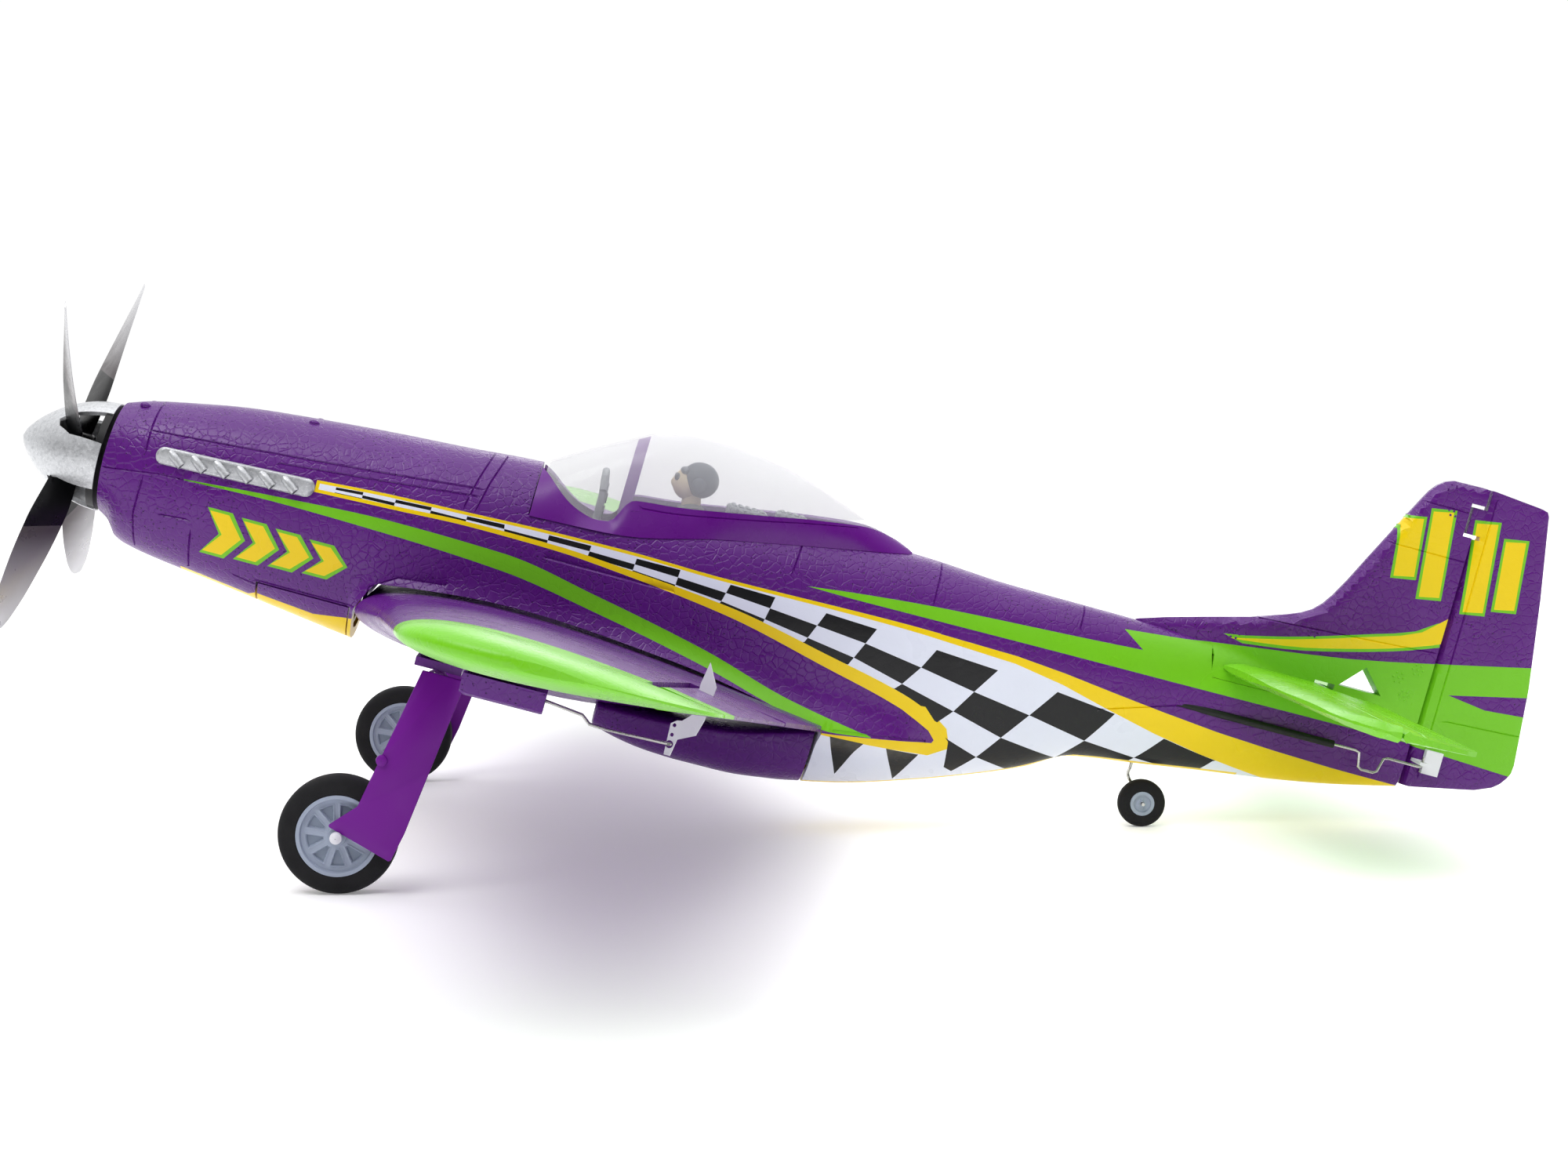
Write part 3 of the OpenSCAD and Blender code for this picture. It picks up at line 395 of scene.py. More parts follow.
def lathe(profile, axis_point, axis="x", steps=96):
    """Closed turned solid: profile of (along, radius) pairs round x or y through a point."""
    cx, cy, cz = axis_point
    rings = []
    for k in range(steps):
        a = 2 * math.pi * k / steps
        c, s = math.cos(a), math.sin(a)
        if axis == "x":
            rings.append([(cx + d, cy + r * s, cz + r * c) for d, r in profile])
        else:
            rings.append([(cx + r * s, cy + d, cz + r * c) for d, r in profile])
    rings.append(rings[0])
    verts, faces = loft(rings, caps=False)
    n = len(profile)
    total = steps * n
    faces = [tuple(i % total for i in f) for f in faces]
    return verts[:total], faces


def join(*parts):
    verts, faces = [], []
    for v, f in parts:
        base = len(verts)
        verts += v
        faces += [tuple(i + base for i in g) for g in f]
    return verts, faces


def box(lo, hi, bevel=0.4):
    """Box with chamfered edges, as three stacked rounded outlines."""
    (x0, y0, z0), (x1, y1, z1) = lo, hi
    rings = []
    for z, inset in ((z0, bevel), (z0 + bevel, 0), (z1 - bevel, 0), (z1, bevel)):
        a, b, c, d, e = x0 + inset, x1 - inset, y0 + inset, y1 - inset, bevel
        rings.append([(a + e, c, z), (b - e, c, z), (b, c + e, z), (b, d - e, z), (b - e, d, z),
                      (a + e, d, z), (a, d - e, z), (a, c + e, z)])
    return loft(rings)


def cut_sheet(outline, holes=(), paints=(), grooves=(), step=1.6, groove_w=0.32, seam=1.0):
    """Triangulates a 2-D outline with painted regions and groove lines.

    Returns the points, the triangles, a paint index for each triangle and a groove share for
    each point. Each paint is (index, polygon) and later ones win.
    """
    loops = [dense(outline, seam)] + [dense(h, seam) for h in holes] + [dense(p, seam) for _, p in paints]
    points, edges = [], []
    for loop in loops:
        base = len(points)
        points += loop
        edges += [(base + i, base + (i + 1) % len(loop)) for i in range(len(loop))]
    centres = []
    for line in grooves:
        path = dense(line, seam, closed=False)
        centres += list(zip(path, path[1:]))
        for shift in (-groove_w, 0, groove_w):
            base = len(points)
            for i, q in enumerate(path):
                a, b = path[max(i - 1, 0)], path[min(i + 1, len(path) - 1)]
                d = math.dist(a, b) or 1
                points.append((q[0] - shift * (b[1] - a[1]) / d, q[1] + shift * (b[0] - a[0]) / d))
            edges += [(base + i, base + i + 1) for i in range(len(path) - 1)]
    fixed = np.array(points)
    cell = {}
    for u, v in points:
        cell.setdefault((math.floor(u / step), math.floor(v / step)), []).append((u, v))
    us, vs = fixed[:, 0], fixed[:, 1]
    u = us.min()
    row = 0
    while u <= us.max():
        v = vs.min() + (0.5 * step if row % 2 else 0)
        while v <= vs.max():
            i, j = math.floor(u / step), math.floor(v / step)
            near = (q for a in (-1, 0, 1) for b in (-1, 0, 1) for q in cell.get((i + a, j + b), ()))
            if all(math.dist(q, (u, v)) > 0.55 * step for q in near):
                points.append((u, v))
            v += step
        u += 0.87 * step
        row += 1
    out, _, tris, *_ = geometry.delaunay_2d_cdt([Vector(q) for q in points], edges, [], 0, 1e-5)
    flat = [(q.x, q.y) for q in out]
    boundary, cuts = loops[0], loops[1:1 + len(holes)]
    spots, corners = np.array(flat), np.array([tuple(t) for t in tris])
    centre = spots[corners].mean(axis=1)
    good = inside(boundary, centre)
    for hole in cuts:
        good &= ~inside(hole, centre)
    choice = np.zeros(len(corners), int)
    for (index, _), loop in zip(paints, loops[1 + len(holes):]):
        choice[inside(loop, centre)] = index
    keep = [tuple(map(int, t)) for t in corners[good]]
    picks = [int(p) for p in choice[good]]
    used = sorted({i for t in keep for i in t})
    where = {i: k for k, i in enumerate(used)}
    flat = [flat[i] for i in used]
    keep = [tuple(where[i] for i in t) for t in keep]
    depth = np.zeros(len(flat))
    if centres:
        q = np.array(flat)
        for (a, b) in centres:
            a, d = np.array(a), np.array(b) - np.array(a)
            t = np.clip(((q - a) @ d) / max(d @ d, 1e-12), 0, 1)
            near = np.linalg.norm(q - a - t[:, None] * d, axis=1)
            depth = np.maximum(depth, np.clip(1 - near / (0.7 * groove_w), 0, 1))
    return flat, keep, picks, depth


def shell(sheet, outer, inner, flip=False):
    """Closes a triangulated sheet into a solid between two mappings of its points."""
    flat, tris, picks, depth = sheet
    n = len(flat)
    verts = [side(u, v, d) for side in (outer, inner) for (u, v), d in zip(flat, depth)]
    paint = {}
    for (a, b, c), pick in zip(tris, picks):
        paint.update({(a, b): pick, (b, c): pick, (c, a): pick})
    rim = [(a, b) for a, b in paint if (b, a) not in paint]
    faces = list(tris) + [tuple(n + i for i in reversed(t)) for t in tris]
    faces += [(b, a, a + n, b + n) for a, b in rim]
    return verts, turned(faces) if flip else faces, picks + picks + [paint[e] for e in rim]


def side_slab(name, outline, half, body, slot, grooves, holes, replaces):
    """A slab seen from the side in the tail's paint, with half its thickness from half(x, z)."""
    sheet = cut_sheet(outline, holes, tail_paints(), grooves, 1.7)
    outer, inner = (lambda u, v, g, s=s: (u, s * (half(u, v) - 0.3 * g), v) for s in (1, -1))
    verts, faces, picks = shell(sheet, outer, inner, True)
    add_piece(name, verts, faces, body, slot, PAINTS, picks, replaces)


def plan_slab(name, outline, height, body, replaces, grooves):
    """A green slab seen from above, with half its thickness from height(x, y)."""
    sheet = cut_sheet(outline, grooves=grooves, step=2.2)
    upper, lower = (lambda u, v, g, s=s: (u, v, TAILPLANE_Z + s * (height(u, v) - 0.3 * g)) for s in (1, -1))
    verts, faces, _ = shell(sheet, upper, lower)
    add_piece(name, verts, faces, body, "foam_green", ["green_foam"], None, replaces)


# ---- Fuselage surface -----------------------------------------------------
TOP = Line((26, 16.8), (32, 18.8), (45, 21.6), (60, 24.2), (80, 26.2), (100, 27.8), (120, 29),
           (142, 30.6), (160, 31), (250, 32.4), (280, 30.9), (312, 30.6), (345, 30), (375, 24.5),
           (406, 22))
KEEL = Line((26, -14.6), (29, -16.5), (32, -20.6), (36, -22), (45, -23.6), (60, -25.6), (80, -28.4),
            (100, -31.2), (120, -33.5), (160, -36), (185, -40.6), (200, -42.2), (212, -42.2),
            (228, -40.5), (246, -37.1), (265, -31.5), (284, -24.7), (297, -19.2), (309, -12.8),
            (330, -9.7), (346, -7.4), (369, -4.3), (385, -1.6), (406, 3))
HALF_WIDTH = Line((26, 15.6), (32, 17), (45, 18.6), (60, 19.4), (80, 20), (120, 20.6), (180, 20.2),
                  (210, 19.2), (240, 17.4), (270, 15), (300, 12.4), (330, 9.8), (350, 8), (370, 5.8),
                  (390, 4.4), (406, 3.4))
WAIST = Line((26, 0.5), (45, -1), (100, -1.5), (200, 0), (250, 3), (300, 8), (350, 9), (406, 11))
POWER = Line((26, 2), (45, 2.3), (240, 2.3), (300, 2.2), (406, 2.2))
FILLET_OUT = Line((100, 0), (106, 5), (125, 8), (200, 8), (235, 7), (258, 4), (268, 0.3), (272, 0))
FILLET_Z = Line((100, -22), (125, -17), (180, -17), (235, -21), (268, -19.5))
SILL = Line((142, 16.5), (167, 17.8), (195, 23.5), (221, 27.9), (250, 32.3))
SADDLE = Line((102, -21), (107, -12.5), (145, -9.2), (190, -12.2), (236, -20.4))
WALL = 3.0
ARC = 0.35  # millimetres of sheet to one degree round the section


def angle_at(x, z):
    """Angle round the section, from -90 at the keel to 90 at the top."""
    zm = WAIST(x)
    reach = TOP(x) - zm if z > zm else zm - KEEL(x)
    k = min(1.0, abs(z - zm) / reach)
    return math.copysign(math.degrees(math.asin(k ** (POWER(x) / 2))), z - zm)


def section_point(x, angle, inset=0.0):
    zm, p = WAIST(x), POWER(x)
    s, c = math.sin(math.radians(angle)), math.cos(math.radians(angle))
    reach = TOP(x) - zm if s > 0 else zm - KEEL(x)
    y = max(0.0, HALF_WIDTH(x) - inset) * max(c, 0.0) ** (2 / p)
    z = zm + math.copysign(max(0.0, reach - inset) * abs(s) ** (2 / p), s)
    d = z - FILLET_Z(x)
    y += FILLET_OUT(x) * math.exp(-(d / (6 if d > 0 else 3.5)) ** 2) * min(1.0, max(c, 0.0) * 3)
    return y, z


def side_y(x, z):
    return section_point(x, angle_at(x, z))[0]


def on_sheet(points, closed=True):
    """Side-view (x, z) outline or line turned into the unrolled sheet of the half fuselage."""
    return [(x, ARC * angle_at(x, z)) for x, z in dense(points, 1.2, closed)]


HATCH = (74.0, 101.0)
HATCH_Z = -21.0
SADDLE_X = (102.0, 236.0)
COCKPIT = (142.0, 250.0)
NOSE_X, STERN_X = 26.0, 404.8


def sheet_line(x0, x1, height, step=1.5):
    n = max(2, math.ceil(abs(x1 - x0) / step))
    return [(x, ARC * height(x)) for x in (x0 + (x1 - x0) * k / n for k in range(n + 1))]


def half_outline():
    keel, top = (lambda x: -90.0), (lambda x: 90.0)
    low = [(NOSE_X, -90 * ARC), (HATCH[0], -90 * ARC)]
    low += sheet_line(*HATCH, lambda x: angle_at(x, HATCH_Z))
    low += [(HATCH[1], -90 * ARC), (SADDLE_X[0], -90 * ARC)]
    low += sheet_line(*SADDLE_X, lambda x: angle_at(x, SADDLE(x))) + sheet_line(SADDLE_X[1], STERN_X, keel)
    high = sheet_line(STERN_X, COCKPIT[1], top)
    high += sheet_line(COCKPIT[1] - 0.5, COCKPIT[0], lambda x: angle_at(x, SILL(x)))
    high += [(COCKPIT[0], 90 * ARC)]
    return low + high + [(NOSE_X, 90 * ARC)]


# ---- Livery ---------------------------------------------------------------
PAINTS = ["purple", "green", "yellow", "white", "black"]
G, Y, W, K = 1, 2, 3, 4
BAND_TOP = Line((84, 10.9), (105, 12.2), (127, 12.9), (149, 13.6), (171, 13.8), (199, 13.2),
                (246, 13.6), (285, 12.6), (314, 9.4), (348, 5.6), (384, 3.6), (404, 3.2))
BAND_LOW = Line((84, 7.6), (106, 8.4), (128, 9.2), (150, 8.9), (173, 7.1), (202, 3.4), (232, -3.6),
                (257, -10.1), (266, -14.2), (270, -18))
TOP_BORDER = Line((84, 0.8), (200, 0.9), (285, 2.2), (330, 6.8), (365, 9))
LOW_BORDER = Line((84, 0.9), (160, 1.5), (230, 3.4), (270, 4.4))
GREEN_HIGH = Line((49, 1.8), (74, 3.7), (107, 5.2), (138, 4.5), (166, -0.4), (199, -7.5), (224, -14.6),
                  (250, -19.4))
GREEN_LOW = Line((49, 1.6), (74, 2.2), (108, 1.5), (139, -0.3), (167, -5), (200, -11.8), (225, -18.3),
                 (237, -20.6), (250, -19.6))
UPPER_HIGH = Line((222, 16.9), (238, 18.6), (260, 20.3), (307, 22.4), (345, 24.4))
UPPER_LOW = Line((222, 16.9), (238, 16.6), (284, 16.6), (339, 16.4), (406, 16.2))
SPIKE = Line((314, 27.4), (333, 29), (351, 31.4), (380, 35.4), (404, 40.1), (436, 46.8))


def strip(low, high, x0, x1, step=3.0):
    n = math.ceil((x1 - x0) / step)
    xs = [x0 + (x1 - x0) * k / n for k in range(n + 1)]
    return [(x, low(x)) for x in xs] + [(x, high(x)) for x in reversed(xs)]


# Column lines of the chequered band from its top edge to its low edge, then the rear lattice.
BARS = [((89.5, 10.3), (89.5, 8.2)), ((97, 10.9), (97, 8.4)), ((106, 11.2), (106, 8.6)), ((116, 11.7), (116, 8.9)),
        ((126, 11.8), (126, 8.9)), ((136.5, 12.2), (137, 8.7)), ((149, 12.5), (149, 8.2)), ((161, 12.6), (160.6, 7.9)),
        ((174, 12.4), (173.6, 7.4)), ((186.5, 12.4), (186, 6)), ((201, 12), (199, 4.4)), ((214, 11.7), (212, 1.8)),
        ((229, 11), (224, -0.9)), ((244, 10.2), (237.6, -3.8))]
LATTICE = [[(262, 8.7), (259, 2.8), (255, -3), (250.6, -7.6)],
           [(280.6, 7.4), (275.6, -0.2), (271.4, -7.1), (266, -13.4)],
           [(299, 5.6), (293, -2.9), (287, -11.3), (282, -18.7), (276.6, -24.8)],
           [(317, 3.5), (311, -6.4), (305, -13.8), (300, -22), (295, -30)],
           [(334, 1.1), (327, -7.9), (321, -16), (315, -24), (309, -30)],
           [(351, -0.8), (345, -9), (339, -17), (333, -25), (327, -30)]]


def checkers():
    """Black cells of the band: three rows that lean forward more and more towards the tail."""
    columns = []
    for (x0, z0), (x1, z1) in BARS:
        columns.append([(x0 + (x1 - x0) * k / 3, z0 + (z1 - z0) * k / 3) for k in range(4)])
    columns += LATTICE
    for column in columns:
        while len(column) < 5:
            (x0, z0), (x1, z1) = column[-2:]
            column.append((2 * x1 - x0, 2 * z1 - z0))
    top = lambda x: BAND_TOP(x) - TOP_BORDER(x)
    cells = []
    for i in range(len(columns) - 1):
        for j in range(3 if i < len(BARS) - 3 else 4):
            if (i + j) % 2:
                continue
            a, b = columns[i], columns[i + 1]
            corners = dense([a[j], b[j], b[j + 1], a[j + 1]], 1.5)
            out = []
            for x, z in corners:
                low = BAND_LOW(x) + LOW_BORDER(x) if x < 262 else (-6.6 - 0.9 * (x - 262) if x < 273 else -46.0)
                out.append((x, min(max(z, low), top(x))))
            cells.append(out)
    return cells


def chevrons():
    """Generic racing chevrons on the cowl: yellow with a green edge."""
    shapes = []
    for k in range(4):
        x, z, w, h = 58 + 9.6 * k, -4.6 - 0.5 * k, 5.4, 11.5 - 1.1 * k
        for index, e in ((G, 0.8), (Y, 0.0)):
            shapes.append((index, [(x - e, z + e), (x + w + e, z + e), (x + w + 4.5 + 1.5 * e, z - h / 2),
                                   (x + w + e, z - h - e), (x - e, z - h - e), (x + 4.5 - e, z - h / 2)]))
    return shapes


def livery():
    """Paint regions of one fuselage side, later ones on top."""
    inner_top = lambda x: BAND_TOP(x) - TOP_BORDER(x)
    inner_low = lambda x: BAND_LOW(x) + LOW_BORDER(x)
    paints = [(G, strip(GREEN_LOW, GREEN_HIGH, 49, 250))]
    paints.append((G, strip(UPPER_LOW, UPPER_HIGH, 222, 345)))
    paints.append((G, [(314, 27.4)] + [(x, UPPER_LOW(x)) for x in (330, 345, 360, 380, 407)]
                   + [(407, 60), (351, 31.4), (333, 29)]))
    paints.append((Y, strip(BAND_LOW, BAND_TOP, 84, 262)))
    tail = [(258, 13.4)] + [(x, BAND_TOP(x)) for x in (285, 300, 314, 330, 348, 366, 384, 405)]
    tail += [(406, -10), (300, -44), (210, -44), (210, -24), (240, -21), (256, -19), (268, -17.6), (268.4, -16.6),
             (266, -14.2), (262, -12.3), (257, -10.1)]
    paints.append((Y, tail))
    white = [(258, inner_top(258))] + [(x, inner_top(x)) for x in (285, 300, 314, 330, 345, 356, 366)]
    white += [(368, -5), (330, -12), (300, -46), (206, -46), (210, -22), (248, -22), (268, -21.5),
              (273.5, -18), (271, -12.5), (262, -6.6), (250, inner_low(250))]
    paints.append((W, strip(inner_low, inner_top, 85, 258)))
    paints.append((W, white))
    paints += [(K, cell) for cell in checkers()]
    for k in range(4):
        x = 210.5 + 16.8 * k
        paints.append((K, [(x - 5.5, -21.8), (x + 4.5, -21.8), (x, -38.5 + 2.4 * k)]))
    keel_edge = [(x, KEEL(x) + 1.0) for x in range(206, 366, 8)]
    paints.append((Y, [(x, z - 6) for x, z in reversed(keel_edge)] + keel_edge))
    nose_edge = [(x, KEEL(x) + 1.6) for x in range(52, 74, 4)] + [(74, -24.6), (91, -26.2), (104, -24)]
    paints.append((Y, [(104, -40), (52, -32)] + nose_edge))
    return paints + chevrons()


PANEL_LINES = [
    [(38, -2), (37.4, -11), (38.6, -20)], [(37, 7), (36.6, 12), (36.4, 19.8)],
    [(36.4, 12.2), (73, 15), (102, 17.4), (127, 19.8)], [(73, 12.6), (102, 15.2), (126.5, 17.6)],
    [(27, -0.8), (42, 1.4), (60, 2.2)], [(128, 14.6), (129.6, 22), (132, 29.6)],
    [(124.6, 14.4), (126.2, 22), (128.4, 29.6)], [(54, -12.6), (54.6, -22)], [(68, -21), (82, -23.2)],
    [(217, 19.6), (218, 27.4)], [(258, 21.6), (258.6, 32)], [(301, 24.6), (301.8, 30.4)],
    [(312, 3.6), (334, 10.2), (350, 10.8)], [(150, 6.4), (186, 6.2)],
    [(104, -24.6), (105, -14), (112, -9.6), (125, -8.2)], [(45, -9.4), (52, -8.8)],
    [(74, -20.6), (102, -20.6)], [(239, -20), (252, -18.8), (266, -17.4)],
]


FIN_HALF = Line((313, 0.6), (330, 1.8), (365, 3.2), (385, 3.4), (407, 2.6))


def skin_y(x, z):
    """Outer skin of the body, which flows up into the fin behind the cockpit."""
    if x < 341 and z > 12:
        return FIN_HALF(x) * min(1.0, (z - 12) / 10)
    heights = (z,) if z < 20.6 else [z + d for d in (-2, -1.2, -0.4, 0.4, 1.2, 2)]
    body = sum(side_y(x, h) if h < TOP(x) else 0.0 for h in heights) / len(heights)
    fin = FIN_HALF(x) * min(1.0, max(0.0, z - 12) / 10)
    return (body ** 4 + fin ** 4) ** 0.25


def fuselage():
    paints = [(i, on_sheet(p)) for i, p in livery()]
    grooves = [on_sheet(line, False) for line in PANEL_LINES]
    sheet = cut_sheet(half_outline(), paints=paints, grooves=grooves)

    def outer(x, v, groove):
        angle = v / ARC
        y, z = section_point(x, angle)
        z = min(z, 20.5) if x > 341.2 else z
        if x > 341.2 and z > 12:
            y = max(y, skin_y(x, z))
        s, c = math.sin(math.radians(angle)), math.cos(math.radians(angle))
        cut = 0.38 * groove
        return (x, max(0.04, y - cut * c), z - cut * s)

    def inner(x, v, groove):
        angle = v / ARC
        y, z = section_point(x, angle, min(WALL, HALF_WIDTH(x) - 2))
        body = FILLET_OUT(x) * math.exp(-((z - FILLET_Z(x)) / 5) ** 2)
        z = min(z, 18.5) if x > 341.2 else z
        return (x, max(0.03, y - body), z)

    verts, faces, picks = shell(sheet, outer, inner)
    add_pair("fuselage_shell_{}", (verts, faces), "airframe", "foam_purple", PAINTS, "fuselage_{}", picks)


# ---- Tail -----------------------------------------------------------------
TAILPLANE_Z = 24.2
TAIL_TIP = 87.0
FIN_EDGE = [(313, 26.9), (318, 30.9), (326, 33.4), (337, 36.4), (350, 39.8), (360, 43.2), (364, 44.8),
            (367, 46.6), (369.4, 49), (371.5, 52), (374.4, 57.2), (378.5, 65.4), (384, 76.2), (389, 85.9),
            (390.4, 88.4), (392, 90.4), (394, 92), (396.5, 92.9), (405, 93.1)]
RUDDER_EDGE = [(408, 93), (424, 91.6), (425.6, 91.2), (426.3, 90), (431, 66), (435.3, 40), (437.6, 17.5),
               (437.4, 15), (436.5, 13.2), (435, 11.2), (433, 9.6), (428, 7.6), (423, 6.6), (409.5, 4),
               (405.7, 4)]


def tail_paints():
    """Fin and rudder share their paint, so it runs straight on across the hinge."""
    swoosh_high = Line((345, 32.5), (363, 36.8), (384, 43.1), (397, 47.3), (403, 51.3), (405.4, 54.1))
    swoosh_low = Line((345, 32.3), (364, 34.8), (381, 38.7), (394, 42.3), (403, 45.4), (405.4, 46.4))
    paints = [(G, [(314, 27.4)] + [(x, SPIKE(x)) for x in (333, 351, 366, 380, 392, 404, 416, 436)]
               + [(440, 13.8), (406, 15.6), (385, 16.3), (339, 16.4), (314, 20)])]
    paints.append((0, [(412, 32.6), (440, 38.6), (440, 32.2), (424, 31)]))
    paints.append((G, [(x, swoosh_high(x) + 0.8) for x in range(343, 406, 6)]
                   + [(405.4, 45.4)] + [(x, swoosh_low(x) - 0.9) for x in range(403, 343, -6)]))
    paints.append((Y, [(x, swoosh_high(x)) for x in range(345, 406, 6)] + [(405.4, 54), (405.4, 46.4)]
                   + [(x, swoosh_low(x)) for x in range(403, 345, -6)]))
    for k, (x, z, h) in enumerate(((386, 62, 18), (395, 58, 26), (409, 57, 27), (418, 60, 21))):
        for index, e in ((G, 0.8), (Y, 0.0)):
            paints.append((index, [(x - e, z - e), (x + 6 + e, z + 1.2 - e), (x + 6 - 0.11 * h + e, z + h + e),
                                   (x - 0.11 * h - e, z + h - 1.2 + e)]))
    return paints


def fin():
    outline = FIN_EDGE + [(406.8, 92.9), (406.8, 88), (402.6, 88), (402.6, 78.2), (405.4, 78.2),
                          (405.4, 20.6), (378.4, 20.6), (378.4, 27.2), (372.4, 27.2), (372.4, 20.6),
                          (341.4, 20.6), (341.4, 26.9)]
    edge = dense(FIN_EDGE[1:], 1.0, closed=False)

    def half(x, z):
        lead = min(math.dist((x, z), e) for e in edge)
        return skin_y(x, z) * (min(1.0, 0.25 + (lead / 3.2) ** 0.5) if z > 29 else 1.0)

    lines = [[(352, 40.2), (404, 43.4)], [(383, 71), (405, 71)], [(389.4, 85), (402, 85)]]
    side_slab("fin_foam", outline, half, "airframe", "foam_purple", lines,
              [[(379.4, 27.4), (392.4, 27.4), (386, 34.4)]], ["fin"])


def rudder():
    outline = [(405.7, 4), (405.7, 78), (408, 78), (408, 79.2), (403.8, 79.2), (403.8, 87), (408, 87)]
    outline += RUDDER_EDGE[:-1]

    def half(x, z):
        if x < 408.3 and z > 78:
            return 1.6
        if x < 408:
            return max(0.25, math.sqrt(max(0.0, 2.4 ** 2 - (408 - x) ** 2)))
        away = min(math.dist((x, z), e) for e in edge)
        return (2.4 - 1.8 * (x - 408) / 30) * min(1.0, 0.5 + away / 2.5)

    edge = dense(RUDDER_EDGE[1:-1], 1.0, closed=False)
    side_slab("rudder_foam", outline, half, "rudder", "foam_green",
              [[(409.6, 90), (410, 50), (410, 8)], [(414, 25), (436, 26)]], (), ["rudder"])


def both_sides(points):
    return points + [(x, -y) for x, y in reversed(points)]


def tailplane():
    lead = [(344.6, 6), (351, 42), (356.6, 75.6), (358, 80), (360, 83.5), (362, 85.2), (364.5, 86.3),
            (369, 87), (372.6, 87)]
    front = Line((0, 344.6), (6, 344.6), (42, 351), (75.6, 356.6), (83.5, 360), (86.3, 364.5), (87, 369))

    def stab(x, y):
        d = max(0.0, x - front(abs(y)))
        end = max(0.0, TAIL_TIP - abs(y))
        nose = math.sqrt(min(1.0, (d + 0.05) / 6))
        return max(0.3, 2.15 * nose * min(1, 0.55 + end / 4))

    lines = [[(366, 12), (368, 82)], [(366, -12), (368, -82)],
             [(350, 24), (372, 25)], [(350, -24), (372, -25)]]
    plan_slab("tailplane_foam", both_sides(lead), stab, "airframe", ["stabilizer"], lines)

    def flap(x, y):
        r = 1.7
        if x < 374.8:
            return max(0.15, math.sqrt(max(0.0, r * r - (374.8 - x) ** 2)))
        end = max(0.0, TAIL_TIP - abs(y))
        return (r - 1.15 * (x - 374.8) / 20) * min(1, 0.6 + end / 4)

    rear = [(390.4, 7.2), (391.2, 10), (394.4, 80), (393.6, 84.5), (390, 86.9), (373.2, 86.9)]
    outline = [(376.4, -7.2), (376.4, 7.2)] + both_sides(rear)
    plan_slab("elevator_foam", outline, flap, "elevator", ["elevator"],
              [[(378, 12), (378.6, 84)], [(378, -12), (378.6, -84)]])


fuselage()
fin()
rudder()
tailplane()


# ---- Nose -----------------------------------------------------------------
SHAFT_Z = 0.5
PROP_TURN = 38
SPINNER_R, SPINNER_LEN = 15.4, 24.5


def spinner_radius(x):
    t = max(0.0, min(1.0, x / SPINNER_LEN))
    return SPINNER_R * math.sin(math.pi / 2 * t ** 0.94) ** 0.72


def spinner():
    """Moulded foam spinner with a wedge cut out for each blade."""
    scale = 10.0
    wide = math.pi * scale
    cuts = []
    for k in range(4):
        mid = math.radians(90 * k - PROP_TURN) * scale
        mid = (mid + wide) % (2 * wide) - wide
        cuts.append([(24.7, mid - 3.3), (24.7, mid + 3.6), (15, mid + 3.0), (11.4, mid + 1.2),
                     (10.6, mid - 0.9), (14, mid - 2.6)])
    outline = [(0.0, -wide), (SPINNER_LEN, -wide), (SPINNER_LEN, wide), (0.0, wide)]
    sheet = cut_sheet(outline, cuts, step=1.1, seam=0.8)

    def place(x, v, r):
        a = v / scale
        return (x, -r * math.sin(a), SHAFT_Z + r * math.cos(a))

    verts, faces, picks = shell(sheet, lambda x, v, g: place(x, v, spinner_radius(x)),
                                lambda x, v, g: place(max(x, 1.2), v, max(0.0, spinner_radius(x) - 1.3)), True)
    add_piece("spinner_shell", verts, faces, "propeller", "spinner_silver", ["silver"], picks, ["spinner"])


def blade_section(n=11):
    upper = [(-0.5 + q, 0.1 + 3.1 * (q ** 0.6) * (1 - q) ** 1.1) for q in (k / (n - 1) for k in range(n))]
    lower = [(q - 0.5, -0.1 - 0.55 * math.sin(math.pi * q) ** 0.8) for q in (1 - k / (n - 1) for k in range(n))]
    return upper + lower


